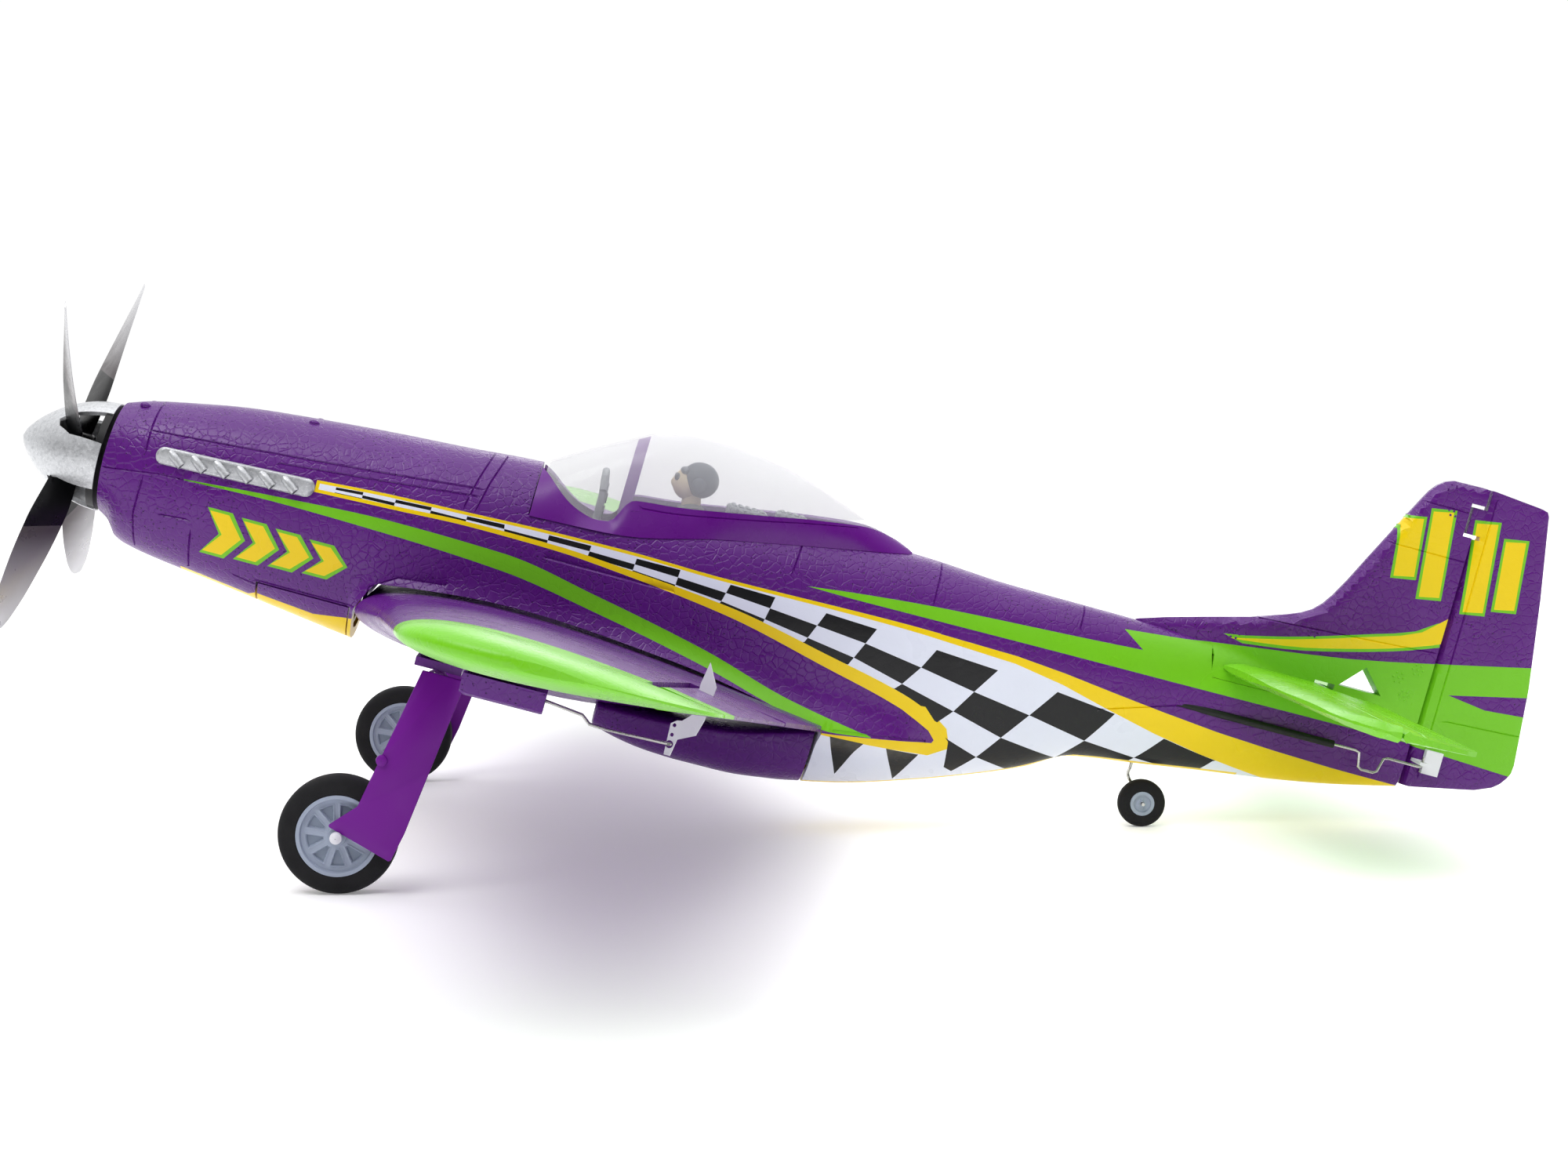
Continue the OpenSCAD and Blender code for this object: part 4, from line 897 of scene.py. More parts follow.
def propeller():
    chord = Line((0, 6), (0.15, 8.4), (0.35, 11.6), (0.55, 12.6), (0.75, 11.4), (0.9, 8.4), (0.97, 5.2), (1, 1.6))
    twist = Line((0, 62), (0.3, 42), (0.6, 29), (1, 20))
    thick = Line((0, 1.1), (0.3, 0.65), (1, 0.26))
    radii = [k / 30 for k in range(28)] + [0.92, 0.945, 0.965, 0.98, 0.992, 1]
    section = blade_section()
    verts, faces, picks, shade = [], [], [], []
    for k in range(4):
        turn = math.radians(90 * k - PROP_TURN)
        rings = []
        for t in radii:
            r, c, a, h = 3.6 + t * 58.9, chord(t), math.radians(twist(t)), thick(t)
            sweep_back = 2.4 * t * t
            out = []
            for q in section:
                u, v = q[0] * c + sweep_back, q[1] * h
                x, y = -v * math.cos(a) - u * math.sin(a), u * math.cos(a) - v * math.sin(a)
                reach = r + 9.4 * q[0] * math.sin(math.pi * t)
                out.append((15 + x, y * math.cos(turn) - reach * math.sin(turn),
                            SHAFT_Z + y * math.sin(turn) + reach * math.cos(turn)))
            rings.append(out)
        v, f = loft(rings)
        f = turned(f)
        base, n = len(verts), len(section)
        for g in f:
            ts = [radii[i // n] for i in g]
            picks.append(1 if sum(ts) / len(ts) > 0.41 else 0)
        shade += [min(1.0, max(0.0, (radii[i // n] - 0.45) / 0.5)) ** 0.9 for i in range(len(v))]
        verts += v
        faces += [tuple(base + i for i in g) for g in f]
    hub, hub_faces = lathe([(-3.2, 1.0), (-3.2, 4.4), (-2.6, 5), (3.6, 5), (4.2, 4.4), (4.2, 1.0)],
                           (15, 0, SHAFT_Z))
    base = len(verts)
    verts += hub
    faces += [tuple(base + i for i in g) for g in hub_faces]
    picks += [0] * len(hub_faces)
    shade += [0.0] * len(hub)
    obj = add_piece("propeller_blades", verts, faces, "propeller", "prop_black", ["blade", "blade_tip"], picks,
                    ["propeller"])
    layer = obj.data.attributes.new("shade", "FLOAT", "POINT")
    layer.data.foreach_set("value", shade)


def exhausts():
    """Rounded tray with six slanted stubs, one on each side. Each stub ends in a dark grey disc, painted shade for its
    hollow mouth.
    """
    low, high = Line((40, 4.1), (84, 5.7)), Line((40, 8.9), (84, 10.8))
    ends = 2.2
    outline = []
    for cx, sign in ((84 - ends, 1), (40 + ends, -1)):
        for k in range(9):
            a = math.radians(-90 + 180 * k / 8) if sign > 0 else math.radians(90 + 180 * k / 8)
            x = cx + ends * math.cos(a)
            mid, half = (low(x) + high(x)) / 2, (high(x) - low(x)) / 2
            outline.append((x, mid + half * math.sin(a)))
    outline = dense(outline, 2.0)

    def level(out, inset):
        points = []
        for x, z in outline:
            mid = (low(x) + high(x)) / 2
            x2 = x + (inset if x < 50 else -inset if x > 74 else 0) * (abs(x - 62) - 12) / 10
            z2 = z - math.copysign(min(inset, abs(z - mid)), z - mid)
            points.append((x2, side_y(62, 7.5) * 0.2 + 0.8 * side_y(x, 7) + out, z2))
        return points

    tray = loft([level(-0.8, 0), level(0.5, 0), level(1.0, 0.35), level(1.15, 0.8)])
    parts, picks = [tray], [0] * len(tray[1])
    for k in range(6):
        x = 44.2 + 6.3 * k
        z = (low(x) + high(x)) / 2 + 1.0
        y = side_y(x, 7) + 1.0
        way = Vector((0.80, 0.16, -0.58)).normalized()
        start = Vector((x, y, z))
        path = [start - way * 0.8, start, start + way * 1.6, start + way * 3.4, start + way * 4.4]
        tube = sweep(path, 1.25, 20, [0.6, 0.9, 1.0, 1.0, 0.98])
        # A dark grey disc on the end of each capped stub: painted shade standing for the hollow mouth.
        shade_disc = sweep([start + way * 4.36, start + way * 4.46], 0.8, 20)
        parts += [tube, shade_disc]
        picks += [0] * len(tube[1]) + [1] * len(shade_disc[1])
    verts, faces = join(*parts)
    add_pair("exhaust_bar_{}", (verts, turned(faces)), "airframe", "exhaust_silver", ["exhaust", "mouth_shade"],
             "exhaust_{}", picks)


# ---- Canopy and cockpit ---------------------------------------------------
RAIL = Line((142, 29.4), (145, 27.6), (148, 25.2), (152, 22.4), (156, 20.6), (160, 19.7), (164, 20.2),
            (166.4, 23.6), (168, 26.6), (170, 27.4), (180, 28.4), (204, 32.2), (221, 34.9), (235, 36.2),
            (244, 34.6), (250, 32.4))
CANOPY_TOP = Line((142, 30.5), (152, 36.6), (163, 42.7), (172, 47.1), (184, 49.3), (198, 48.7), (213, 46.1),
                  (226, 41.8), (234, 38.8), (242, 35.6), (250, 32.6))
CANOPY_WIDTH = Line((142, 16), (155, 15.6), (167, 15), (195, 14.4), (215, 12.2), (235, 8.8), (250, 5))


def ease(t):
    t = min(1.0, max(0.0, t))
    return t * t * (3 - 2 * t)


def canopy_point(x, a, out=0.0):
    """Canopy surface: angle a runs from 0 at the sill to 90 on top."""
    s0, top = SILL(x), CANOPY_TOP(x) + out
    sn, cs = math.sin(math.radians(a)), max(0.0, math.cos(math.radians(a)))
    z = s0 + (top - s0) * sn
    foot = side_y(x, min(s0, TOP(x) - 0.4))
    near = min(1.0, (z - s0) / max(0.5, RAIL(x) - s0))
    bubble = (foot + (CANOPY_WIDTH(x) - foot) * near) * cs ** 0.8
    body = side_y(x, min(TOP(x), s0 + (TOP(x) - s0) * sn))
    mix = ease((x - 142) / 20) * (1 - ease((x - 228) / 20))
    return (x, max(0.0, bubble * mix + body * (1 - mix) + out * cs), z)


def rail_angle(x):
    s0 = SILL(x)
    return math.degrees(math.asin(min(1.0, (RAIL(x) - s0) / (CANOPY_TOP(x) - s0))))


def canopy():
    wide = 0.4  # millimetres of sheet to one degree
    xs = [142.3 + (249.7 - 142.3) * k / 90 for k in range(91)]
    lower = [(x, -wide) for x in xs]
    upper = [(x, wide * min(89.0, rail_angle(x))) for x in xs]
    line = [(x, wide * (rail_angle(x) - 4)) for x in xs if 172 < x < 232]
    strip_sheet = cut_sheet(lower + upper[::-1], grooves=[line], step=1.3, groove_w=0.25)
    post = [(165.6, wide * rail_angle(165.6)), (168.9, wide * (rail_angle(168.9) - 2)), (169.4, 90 * wide),
            (166.3, 90 * wide)]
    parts = []
    for sheet, lift, deep in ((strip_sheet, 0.45, 1.3), (cut_sheet(post, step=0.9), -0.75, 1.6)):
        verts, faces, _ = shell(sheet, lambda x, v, g: canopy_point(x, v / wide, lift - 0.3 * g),
                                lambda x, v, g: canopy_point(x, v / wide, lift - deep))
        parts += [(verts, faces), mirrored(verts, faces)]
    # Deck that closes the cockpit a little below the rail
    deck = []
    for x in [169 + 3 * k for k in range(21)]:
        z = min(RAIL(x) - 2.6, 26.4 + (x - 169) * 0.1)
        w = side_y(x, SILL(x)) - 1.6
        deck.append([(x, w, z), (x, 0.5 * w, z + 0.5), (x, 0, z + 0.7), (x, -0.5 * w, z + 0.5), (x, -w, z),
                     (x, -w, z - 1), (x, 0, z - 1), (x, w, z - 1)])
    add_piece("canopy_surround", *join(*parts, loft(deck)), "airframe", "plastic_purple", ["plastic"], None,
              ["canopy_frame"])

    def arch(x, out):
        start = max(0.0, rail_angle(x) - 4)
        arc = [canopy_point(x, start + (90 - start) * k / 20, out) for k in range(21)]
        return arc + [(q[0], -q[1], q[2]) for q in arc[-2::-1]]

    rings = [arch(x, 0.0) + arch(x, -0.6)[::-1] for x in (143.6 + (246.5 - 143.6) * k / 80 for k in range(81))]
    add_piece("canopy_bubble", *loft(rings), "airframe", "clear", ["clear"], None, ["canopy_glass"])


def ball(centre, radii, n=32, m=20, shape=None):
    """Ellipsoid as stacked rings, with an optional change of radius by direction."""
    rings = []
    for j in range(m + 1):
        b = math.pi * j / m
        ring_points = []
        for i in range(n):
            a = 2 * math.pi * i / n
            d = (math.sin(b) * math.cos(a), math.sin(b) * math.sin(a), math.cos(b))
            k = shape(*d) if shape else 1.0
            ring_points.append(tuple(centre[q] + radii[q] * d[q] * k for q in range(3)))
        rings.append(ring_points)
    return loft(rings, caps=False)


def cockpit():
    def put(name, parts, slot, material, replaces=()):
        add_piece(name, *join(*parts), "airframe", slot, [material], None, replaces)

    x, z = 185.5, 36.6
    helmet = ball((x + 0.6, 0, z + 0.3), (5.4, 5.2, 5.4),
                  shape=lambda a, b, c: 1 + 0.05 * max(0, -a) - 0.05 * abs(c))
    ears = [ball((x + 0.4, s * 5.0, z - 1.2), (2.2, 1.2, 2.4), 20, 12) for s in (-1, 1)]
    peak = ball((x - 4.2, 0, z + 1.9), (1.5, 4.2, 1.3), 24, 12)
    put("pilot_helmet", [helmet, *ears, peak], "pilot_paint", "helmet", ["pilot"])
    nose = lambda a, b, c: 1 + 0.16 * math.exp(-((b / 0.2) ** 2) - ((c + 0.1) / 0.25) ** 2) * (a < 0)
    face = ball((x - 2.9, 0, z - 1.4), (4.0, 4.0, 4.6), 32, 24, nose)
    neck = ball((x - 0.4, 0, z - 6.4), (2.8, 2.8, 3.4), 20, 12)
    put("pilot_face", [face, neck], "pilot_paint", "skin")
    goggles = [ball((x - 6.0, s * 1.7, z - 0.2), (0.9, 1.5, 1.2), 20, 12) for s in (-1, 1)]
    put("pilot_goggles", goggles, "pilot_paint", "dial")
    folds = lambda a, b, c: 1 + 0.05 * math.sin(9 * b) * abs(a)
    put("pilot_shoulders", [ball((x + 0.4, 0, z - 12.6), (5.2, 8.6, 6.4), 36, 20, folds)], "pilot_paint", "suit")

    panel = box((159.2, -8, 18), (161.4, 8, 29.5), 0.5)
    hood = sweep([(160.2, -8.4, 27.5), (159.8, -6.5, 31), (159.6, 0, 32.6), (159.8, 6.5, 31), (160.2, 8.4, 27.5)],
                 1.1)
    put("panel_block", [panel, hood], "panel_grey", "panel", ["instrument_panel"])
    dials = []
    for row, z0 in enumerate((21.4, 25.2)):
        for k in range(4 - row):
            y0 = -5.1 + 3.4 * k + 1.7 * row
            dials.append(lathe([(0, 0.01), (0, 1.2), (0.5, 1.3), (0.5, 0.01)], (161.3, y0, z0), steps=24))
    put("panel_dials", dials, "panel_grey", "dial")
    radios = []
    for (x0, x1), half, low, high, ribs in (((195.4, 207.2), 6, 24, 32.6, 5), ((209.4, 218.6), 5, 24, 34.2, 4)):
        radios.append(box((x0, -half, low), (x1, half, high), 0.5))
        for k in range(ribs):
            a = x0 + 1.1 + (x1 - x0 - 1.6) * k / ribs
            radios.append(box((a, -half + 1, high - 0.2), (a + 1.3, half - 1, high + 0.45), 0.2))
            for y in (-half - 0.3, half + 0.3):
                radios.append(box((a, y - 0.35, high - 3), (a + 1.3, y + 0.35, high - 0.6), 0.2))
    put("radio_boxes", radios, "panel_grey", "panel", ["cockpit_boxes"])


# ---- Wing -----------------------------------------------------------------
LEAD = Line((0, 103), (24, 103), (40, 107.2), (58, 113), (243, 132), (250, 132.7))
LEAD_POINTS = [(0, 103), (24, 103), (58, 113), (243, 132), (250, 132.7)]
TRAIL_POINTS = [(0, 235.4), (24, 235.4), (243, 191), (250, 189.6)]
CHORD_POINTS = [(0, -20.3), (24, -20.3), (243, 7.2), (250, 8.1)]
HALF_SPAN, TIP_START = 246.5, 230.0
AILERON_Y = (116.0, 222.0)
AILERON_SHARE = 0.76
TIP_PAINT = 208.0


def table(points, x):
    return float(np.interp(x, [p[0] for p in points], [p[1] for p in points]))


def tip_pull(y):
    s = max(0.0, (y - TIP_START) / (HALF_SPAN - TIP_START))
    return 1 - math.sqrt(max(0.0, 1 - s * s))


def lead_x(y):
    return (LEAD(y) if y < 58 else table(LEAD_POINTS, y)) + 24 * tip_pull(y)


def trail_x(y):
    return table(TRAIL_POINTS, y) - 26 * tip_pull(y)


def thickness(c):
    return 0.65 * (0.2969 * math.sqrt(c) - 0.126 * c - 0.3516 * c * c + 0.2843 * c ** 3 - 0.1 * c ** 4) + 0.003 * c


def wing_z(y, c, up):
    long = trail_x(y) - lead_x(y)
    if up:
        return table(CHORD_POINTS, y) + 1.12 * thickness(c) * long
    belly = 6 * max(0.0, 1 - y / 24) * math.sin(math.pi * min(1.0, c * 1.1 + 0.02))
    return table(CHORD_POINTS, y) - 0.88 * thickness(c) * long - belly


def wing():
    n = 34
    cut = AILERON_SHARE - 0.012
    half = [24, 28, 32, 36, 40, 46, 52, 58, 64, 72, 80, 90, 100, 108, 114.4, 114.6]
    half += [120 + 8 * k for k in range(11)] + [TIP_PAINT, TIP_PAINT + 0.05, 216, 223.4, 223.6, 227, 230, 233, 236,
                                                 238.5, 241, 243, 244.6, 245.7, 246.3]
    half = sorted(half)
    stations = [-y for y in reversed(half)] + [-18, -12, -6, 0, 6, 12, 18] + half
    rings = []
    for y in stations:
        a = abs(y)
        stop = cut if 114.5 < a < 223.5 else 1.0
        x0, long = lead_x(a), trail_x(a) - lead_x(a)
        shares = [stop * (1 - math.cos(math.pi / 2 * k / (n - 1))) for k in range(n)]
        upper = [(x0 + c * long, y, wing_z(a, c, True)) for c in shares]
        lower = [(x0 + c * long, y, wing_z(a, c, False)) for c in reversed(shares[1:])]
        rings.append(upper + lower)
    verts, faces = loft(rings)
    picks = [1 if abs(sum(verts[i][1] for i in f) / len(f)) > TIP_PAINT + 0.02 else 0 for f in faces]
    add_piece("wing_foam", verts, faces, "airframe", "foam_purple", ["purple", "green_foam"], picks, ["wing"])


def nose_r(y):
    return (wing_z(y, AILERON_SHARE, True) - wing_z(y, AILERON_SHARE, False)) / 2 - 0.1


def hinge(y):
    x = lead_x(y) + AILERON_SHARE * (trail_x(y) - lead_x(y)) + nose_r(y) + 0.5
    return x, (wing_z(y, AILERON_SHARE, True) + wing_z(y, AILERON_SHARE, False)) / 2


def ailerons():
    stations = [AILERON_Y[0] + (TIP_PAINT - AILERON_Y[0]) * k / 14 for k in range(15)]
    stations += [TIP_PAINT + 0.05, 214, 220, 222]
    rings = []
    for y in stations:
        x, z = hinge(y)
        r = nose_r(y)
        tx, tz = trail_x(y), table(CHORD_POINTS, y)
        nose = [math.radians(180 - 9 * k) for k in range(11)]
        up = [(x + r * math.cos(a), y, z + r * math.sin(a)) for a in nose]
        low = [(p[0], y, 2 * z - p[2]) for p in up[1:]]
        for q in (0.3, 0.6, 0.85):
            up.append((x + (tx - x) * q, y, z + r + (tz + 0.35 - z - r) * q))
            low.append((x + (tx - x) * q, y, z - r + (tz - 0.35 - z + r) * q))
        rings.append(up + [(tx, y, tz + 0.35), (tx, y, tz - 0.35)] + low[::-1])
    verts, faces = loft(rings)
    picks = [1 if sum(verts[i][1] for i in f) / len(f) > TIP_PAINT + 0.02 else 0 for f in faces]
    add_pair("aileron_foam_{}", (verts, faces), "{}_aileron", "foam_purple", ["purple", "green_foam"],
             "aileron_{}", picks)


def scoop():
    width = Line((174, 9.5), (180, 11), (190, 12.6), (236, 14.6))
    top = Line((174, -32), (190, -31.5), (210, -29.5), (236, -23))
    floor = Line((174, -38.2), (180, -40), (190, -41.6), (200, -42.1), (212, -42.1), (228, -40.5), (236, -39))

    def ring_at(x, inset):
        w, t, b = width(x) - inset, top(x) - inset * 0.6, floor(x) + inset
        out = []
        for k in range(40):
            a = 2 * math.pi * k / 40
            c, s = math.cos(a), math.sin(a)
            out.append((x, w * math.copysign(abs(c) ** 0.8, c), t + s * (2.0 if s > 0 else t - b)))
        return out

    stations = [174, 174.4, 175.2] + [178 + 3 * k for k in range(20)]
    rings = [ring_at(x, 1.3) for x in (182, 178, 175, 174)] + [ring_at(173.7, 0.6)]
    verts, faces = loft(rings + [ring_at(x, 0.0) for x in stations])
    add_piece("scoop_duct", verts, turned(faces), "airframe", "foam_purple", ["purple"], None, ["belly_scoop"])


def hatch():
    x0, x1 = HATCH[0] + 0.6, HATCH[1] - 0.4
    edge = [x0 + (x1 - x0) * k / 12 for k in range(13)]
    outline = [(x0, -90 * ARC)] + [(x, ARC * angle_at(x, HATCH_Z - 0.45)) for x in edge] + [(x1, -90 * ARC)]
    sheet = cut_sheet(outline[::-1], paints=[(i, on_sheet(p)) for i, p in livery()], step=1.4)

    def layer(inset):
        def place(x, v, groove):
            y, z = section_point(x, v / ARC, inset)
            return (x, max(0.0, y), z)
        return place

    verts, faces, picks = shell(sheet, layer(0.0), layer(2.4))
    both = join((verts, faces), mirrored(verts, faces))
    add_piece("hatch_cover", *both, "battery_hatch", "foam_purple", PAINTS, picks * 2, ["battery_hatch"])


# ---- Gear -----------------------------------------------------------------
def to_air(x, y, z):
    """Ground-frame millimetres to the aircraft frame."""
    dx, dz = x + 217.5, z - 112.2
    return (dx * math.cos(TILT) - dz * math.sin(TILT), y, dx * math.sin(TILT) + dz * math.cos(TILT))


TRACK, MAIN_W, MAIN_R, HUB_R, WIRE = 158.0, 8.0, 15.2, 10.4, 0.75


def ground_wheel(name, centre, r, hub_r, w, body, tyre_node, hub_node, pockets):
    """Foam tyre and a hub disc, on which pockets with raised lips fan out round the axle; the pockets take a darker
    grey as painted shade.
    """
    half = w / 2
    place = lambda verts: [tuple((c + q) / 1000 for c, q in zip(centre, v)) for v in verts]
    profile = []
    for k in range(25):
        a = math.pi * k / 24
        along = -half * math.copysign(abs(math.cos(a)) ** 0.55, math.cos(a))
        profile.append((along, hub_r + 0.25 + (r - hub_r - 0.25) * abs(math.sin(a)) ** 0.5))
    profile += [(half * 0.86, hub_r), (0, hub_r - 0.2), (-half * 0.86, hub_r)]
    verts, faces = lathe(profile, (0, 0, 0), "y", 128)
    add_piece(f"{name}_tyre_foam", place(verts), turned(faces), body, "tyre_foam", ["tyre"], None, [tyre_node], True)

    steps, rows = 216, 40
    bore = 0.82 if pockets else 0.57
    verts, faces, picks = [], [], []
    for sign in (-1, 1):
        base = len(verts)
        for j in range(rows + 1):
            q = bore + (hub_r - bore) * j / rows
            if q < hub_r * 0.24:
                level = half * 1.05
            elif q < hub_r - 1.0:
                level = half * (0.72 + 0.10 * ease((hub_r * 0.42 - q) / (hub_r * 0.18)))
            else:
                level = half * 0.98
            for i in range(steps):
                a = 2 * math.pi * i / steps
                face, pit = level, 0.0
                if pockets:
                    turn = ((a * pockets / (2 * math.pi)) % 1 - 0.5) * 2 * math.pi / pockets * q
                    gap = min(0.25 + (q - 3.6) * 0.34 - abs(turn), q - 3.7, 7.7 - q)
                    pit = ease(gap / 0.35 + 0.5)
                    face += 0.22 * max(0.0, 1 - abs(gap + 0.3) / 0.3)
                verts.append((q * math.sin(a), sign * (face - 0.7 * pit), q * math.cos(a)))
                if j < rows:
                    k, at = (i + 1) % steps, base + j * steps
                    quad = (at + i, at + steps + i, at + steps + k, at + k)
                    faces.append(quad if sign < 0 else tuple(reversed(quad)))
                    # Faces deep in a pocket take the darker grey: painted shade in the pockets.
                    picks.append(1 if pit > 0.6 else 0)
    n, rim = (rows + 1) * steps, rows * steps
    for i in range(steps):
        k = (i + 1) % steps
        faces += [(rim + i, n + rim + i, n + rim + k, rim + k), (i, k, n + k, n + i)]
        picks += [0, 0]
    add_piece(f"{name}_hub_disc", place(verts), faces, body, "hub_grey", ["hub", "hub_recess_shade"], picks, [hub_node],
              True)


def main_gear():
    axle = to_air(-120.9, TRACK / 2, MAIN_R)
    leg_y = TRACK / 2 - MAIN_W / 2 - 3.4
    coil = []
    for k in range(49):
        a = math.radians(100) + 4 * math.pi * k / 48
        coil.append((132 + 2.8 * math.cos(a), leg_y - 0.9 + 1.8 * k / 48, -27 + 2.8 * math.sin(a)))
    foot = [(130.4, leg_y + 0.9, -31), (axle[0] + 0.6, leg_y, axle[2] + 2), (axle[0], leg_y + 0.6, axle[2] + 0.3),
            (axle[0], leg_y + 1.6, axle[2]), (axle[0], TRACK / 2 + MAIN_W / 2 + 2.4, axle[2])]
    path = smooth_path([(132, leg_y - 0.9, -21), (131.8, leg_y - 0.9, -23.6)], 2) + coil + foot
    verts, faces = sweep(path, WIRE, 14)
    door_y = TRACK / 2 + MAIN_W / 2 + 0.9
    outline = [(128.6, -22.6), (139.2, -22.6), (139.6, -24), (134.4, -64), (132.8, -71.4), (132.2, -71.7),
               (115.8, -66.9), (115.6, -66.4), (121.2, -60.4), (121.6, -59)]

    def inset(e):
        cx, cz = 130, -45
        out = []
        for x, z in dense(outline, 3.0):
            d = math.dist((x, z), (cx, cz))
            out.append((x + (cx - x) * e / d, z + (cz - z) * e / d))
        return out

    levels = ((door_y, 0.25), (door_y + 0.2, 0), (door_y + 0.85, 0), (door_y + 1.05, 0.3))
    door = loft([[(x, y, z) for x, z in inset(e)] for y, e in levels])
    cap = lathe([(0, 0.1), (0, 1.55), (1.0, 1.5), (1.5, 1.0), (1.7, 0.1)],
                (axle[0], door_y + 1.0, axle[2]), "y", 32)
    boss = lathe([(0, 0.1), (0, 1.5), (0.7, 1.4), (1.0, 0.9), (1.0, 0.1)],
                 (124.4, door_y + 1.0, -47.2), "y", 32)
    for side in SIDES:
        flip = side == "left"
        v, f = mirrored(verts, faces) if flip else (verts, faces)
        add_piece(f"leg_wire_{side}", v, f, "airframe", "steel", ["steel"], None, [f"gear_leg_{side}"])
        v, f = join(door, boss)
        v, f = mirrored(v, f) if flip else (v, f)
        add_piece(f"door_panel_{side}", v, turned(f), "airframe", "plastic_purple", ["door"],
                  None, [f"gear_door_{side}"] + (["door_screws"] if flip else []))
        v, f = mirrored(*cap) if flip else cap
        add_piece(f"axle_cap_{side}", v, f, "airframe", "white_plastic", ["white_plastic"])
        at = (-120.9, -TRACK / 2 if flip else TRACK / 2, MAIN_R)
        ground_wheel(f"main_{side}", at, MAIN_R, HUB_R, MAIN_W, f"{side}_wheel", f"main_tyre_{side}",
                     f"main_hub_{side}", 9)


def tail_gear():
    a = to_air(100.1, 0, 6.9)
    path = [(328, 0, 2), (328, 0, -10.4)] + smooth_path([(328, 0, -11.4), (328.2, 1.6, -12.5), (328.6, 3.0, -13.8),
                                                        (329.4, 3.2, -15.2)], 5)
    path += [(a[0], 3.2, a[2] + 0.8), (a[0], 3.0, a[2] + 0.2), (a[0], 2.4, a[2]), (a[0], -3.2, a[2])]
    verts, faces = sweep(path, 0.5, 14)
    add_piece("tail_wire", verts, faces, "tail_steering", "steel", ["steel"], None, ["tail_leg"])
    ground_wheel("tail", (100.1, 0, 6.9), 6.9, 3.5, 4, "tail_wheel", "tail_tyre", "tail_hub", 0)


# ---- Controls -------------------------------------------------------------
ROD_R = 0.4


def rods():
    rudder = [(217, -8.2, 10.8), (300, -8.2, 10.8), (388, -8.2, 10.8), (389.3, -8.2, 10.4), (390.2, -8.2, 6.4),
              (391.2, -8.2, 5.8), (394.8, -8.2, 5.8), (395.8, -8.2, 6.4), (396.8, -8.2, 10.4), (398, -8.2, 10.8),
              (407.2, -8.6, 10.8), (408, -8.6, 11.2), (408, -8.6, 13.8)]
    elevator = [(217, 8.2, 15.4), (300, 8.2, 15.4), (360.4, 8.2, 15.4), (361.4, 8.2, 15), (362.2, 8.2, 12),
                (363, 8.2, 11.4), (366, 8.2, 11.4), (366.8, 8.2, 12), (367.8, 8.2, 15), (369, 8.2, 15.4),
                (374.2, 8.2, 15.4), (374.8, 8.6, 15.4), (374.8, 11.6, 15.4)]
    for name, path in (("rudder", rudder), ("elevator", elevator)):
        rod = f"{name}_rod"
        add_piece(f"{name}_link", *sweep(path, ROD_R, 10), rod, "steel", ["steel"], None, [rod])
    horn_y = 150.0
    hx, hz = hinge(horn_y)
    (x0, z0), (x1, z1) = hinge(AILERON_Y[0]), hinge(AILERON_Y[1])
    way = Vector((x1 - x0, AILERON_Y[1] - AILERON_Y[0], z1 - z0)).normalized()
    rise, turn = math.asin(way.z), math.atan2(-way.x, way.y)
    drop = 10.6
    v = drop * math.sin(rise)
    hole = Vector((hx - 2.6 * math.cos(turn) - v * math.sin(turn),
                   horn_y - 2.6 * math.sin(turn) + v * math.cos(turn), hz - drop * math.cos(rise)))
    sz = wing_z(horn_y, 0.3, False)
    s = (157.3, horn_y - 2.2, sz - 2.7)
    hook = hole - 2.4 * way
    path = [s, (s[0] + 12, s[1], s[2] - 1.4), (s[0] + 14, s[1], s[2] - 3), (s[0] + 18, s[1], s[2] - 3.2),
            tuple(hook - Vector((1.2, 0, 0.05))), tuple(hook + 0.5 * way), tuple(hole + 1.6 * way)]
    verts, faces = sweep(path, ROD_R, 10)
    add_pair("aileron_link_{}", (verts, faces), "{}_aileron_rod", "steel", ["steel"], "aileron_rod_{}")
    top = sz - 5.4
    ring_at = lambda x, e: [(x, horn_y - 6 + u, top + w) for u, w in
                            ((0, 5.2), (0.5, 2.4), (1.2, 0.7 + e), (2.4, e), (9.6, e), (10.8, 0.7 + e), (11.5, 2.4),
                             (12, 5.2), (10.8, 5.2), (10.4, 2), (9.2, 1.1 + e), (2.8, 1.1 + e), (1.6, 2), (1.2, 5.2))]
    cover = loft([ring_at(x, e) for x, e in ((141.5, 0.5), (142.2, 0.1), (143, 0), (160, 0), (160.5, 0.1))])
    back = box((141.6, horn_y - 4.8, top + 1.2), (142.6, horn_y + 4.8, top + 5), 0.2)
    add_pair("servo_cover_{}", join(cover, back), "airframe", "plastic_purple", ["purple"], "servo_fairing_{}")


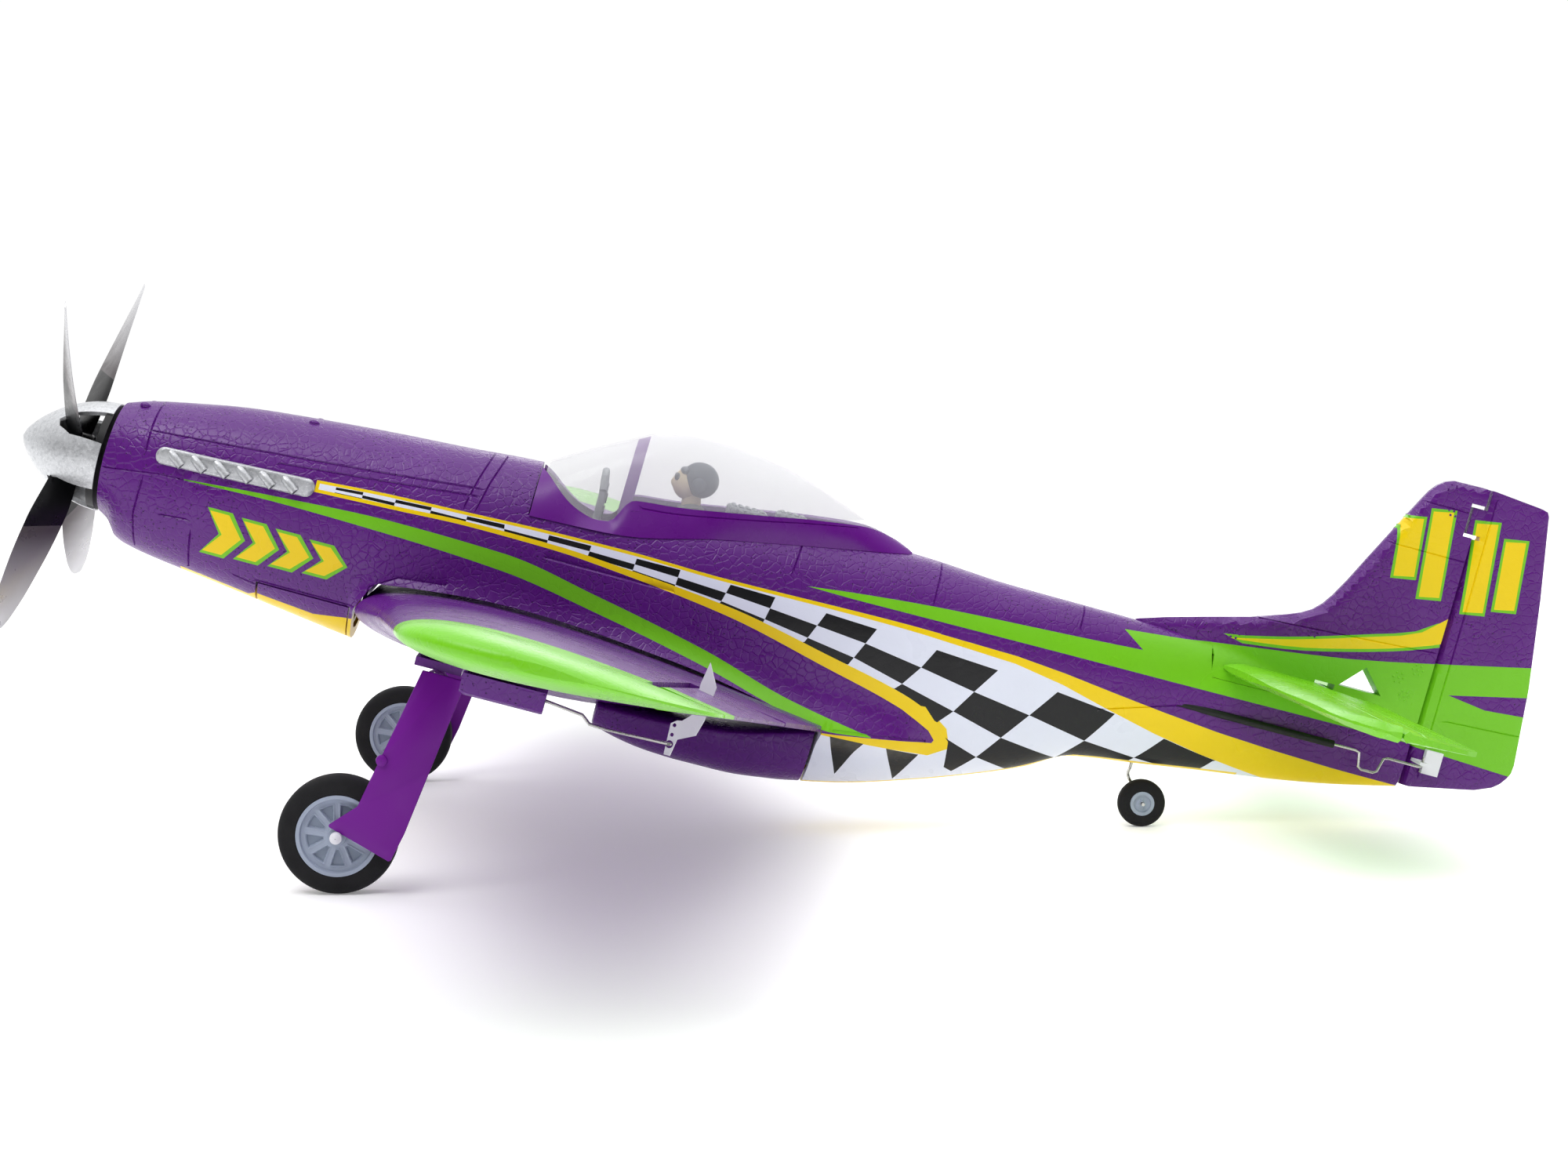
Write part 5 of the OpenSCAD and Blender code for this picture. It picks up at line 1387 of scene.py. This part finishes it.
def moulding_marks():
    """Small blisters left by the mould: seven-dot rosettes on the tail and a few studs on the cowl."""
    purple = [(346, 34.2), (368, 40.5), (383, 65.3), (396, 90.3), (398, 84.4), (401, 56.5)]
    green = [(399, 29.3), (401, 37.5), (396, 34)]
    for name, spots, finish in (("upper", purple, "purple"), ("lower", green, "green_foam")):
        parts = []
        for x, z in spots:
            for k in range(7):
                a = math.radians(60 * k)
                dx, dz = (0, 0) if k == 6 else (1.5 * math.cos(a), 1.5 * math.sin(a))
                y = skin_y(x + dx, z + dz)
                for s in (-1, 1):
                    parts.append(ball((x + dx, s * (y - 0.05), z + dz), (0.36, 0.3, 0.36), 10, 6))
        add_piece(f"mould_rosettes_{name}", *join(*parts), "airframe", "foam_purple", [finish])
    studs = [ball((x, s * 6.5, TOP(x) - 1.1), (1.6, 1.1, 1.0), 16, 8) for x in (32, 78) for s in (-1, 1)]
    add_piece("cowl_studs", *join(*studs), "airframe", "foam_purple", ["purple"])


def dress_cad():
    """CAD parts whose shape is already right only get their materials."""
    finish = {
        "wood": ["firewall"], "alloy": ["motor_stator", "motor_bell", "hatch_magnets"],
        "steel": ["prop_shaft", "motor_screws"], "cell": ["battery"], "circuit": ["receiver"],
        "dark": ["spinner_backplate", "cockpit_tub", "tail_bush", "guide_tubes", "tail_servos"],
        "plastic": ["gear_plates"],
        "white_plastic": ["elevator_horn", "rudder_horn", "aileron_horn_left", "aileron_horn_right",
                          "servo_carriage_left", "servo_carriage_right"],
    }
    for material, nodes in finish.items():
        for node in nodes:
            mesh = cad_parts[node].data
            if not mesh.materials:
                mesh.materials.append(MAT[material])
            for k in range(len(mesh.materials)):
                mesh.materials[k] = MAT[material]


spinner()
propeller()
exhausts()
canopy()
cockpit()
wing()
ailerons()
scoop()
hatch()
main_gear()
tail_gear()
rods()
moulding_marks()
dress_cad()


# ---- Stage ----------------------------------------------------------------
def stage():
    floor = bpy.data.meshes.new("floor")
    size = 3.0
    back = 1.25
    corners = [(-size, -size, 0), (size, -size, 0), (size, back, 0), (-size, back, 0)]
    floor.from_pydata(corners, [], [(0, 1, 2, 3)])
    shader = Shader("floor_white", srgb(250, 250, 250), 0.55)
    shader.bsdf.inputs["Specular IOR Level"].default_value = 0.2
    shader.bsdf.inputs["Emission Color"].default_value = (1, 1, 1, 1)
    shader.bsdf.inputs["Emission Strength"].default_value = 0.2
    floor.materials.append(shader.material)
    ground = bpy.data.objects.new("floor", floor)
    bpy.context.scene.collection.objects.link(ground)
    lights = [("key", (-0.6, -0.9, 1.8), 1.0, 12), ("top", (0.0, -0.1, 2.0), 2.8, 26),
              ("back", (0.5, 1.8, 1.2), 1.4, 7)]
    for name, at, width, watts in lights:
        lamp = bpy.data.lights.new(name, "AREA")
        lamp.size = width
        lamp.energy = watts
        obj = bpy.data.objects.new(name, lamp)
        obj.location = at
        obj.rotation_euler = (Vector((0, 0, 0.06)) - Vector(at)).to_track_quat("-Z", "Y").to_euler()
        bpy.context.scene.collection.objects.link(obj)
    world = bpy.data.worlds.new("studio")
    world.use_nodes = True
    nodes, links = world.node_tree.nodes, world.node_tree.links
    way = nodes.new("ShaderNodeSeparateXYZ")
    links.new(nodes.new("ShaderNodeTexCoord").outputs["Generated"], way.inputs["Vector"])
    shares = []
    for axis, low, high in (("Y", -0.5, 0.25), ("Z", 0.25, 0.9)):
        share = nodes.new("ShaderNodeMapRange")
        share.interpolation_type = "SMOOTHSTEP"
        share.inputs["From Min"].default_value = low
        share.inputs["From Max"].default_value = high
        share.inputs["To Min"].default_value = 0.1
        share.inputs["To Max"].default_value = 1.02
        links.new(way.outputs[axis], share.inputs["Value"])
        shares.append(share.outputs["Result"])
    most = nodes.new("ShaderNodeMath")
    most.operation = "MAXIMUM"
    links.new(shares[0], most.inputs[0])
    links.new(shares[1], most.inputs[1])
    links.new(most.outputs["Value"], nodes["Background"].inputs["Strength"])
    nodes["Background"].inputs["Color"].default_value = (1, 1, 1, 1)
    bpy.context.scene.world = world


def camera():
    psi, phi, roll = math.radians(3.085), math.radians(5.69), math.radians(-0.3)
    ahead = Vector((math.sin(psi) * math.cos(phi), math.cos(psi) * math.cos(phi), -math.sin(phi)))
    right = Vector((math.cos(psi), -math.sin(psi), 0))
    down = ahead.cross(right)
    x = right * math.cos(roll) + down * math.sin(roll)
    y = right * math.sin(roll) - down * math.cos(roll)
    lens = bpy.data.cameras.new("camera")
    lens.lens = 55.1
    lens.sensor_width = 36
    lens.clip_start = 0.01
    view = bpy.data.objects.new("camera", lens)
    eye = Matrix.Translation((-0.041, -0.682, 0.1377))
    view.matrix_world = eye @ Matrix((x, y, -ahead)).transposed().to_4x4()
    bpy.context.scene.collection.objects.link(view)
    bpy.context.scene.camera = view


stage()
camera()
bpy.context.scene.view_settings.view_transform = "Standard"
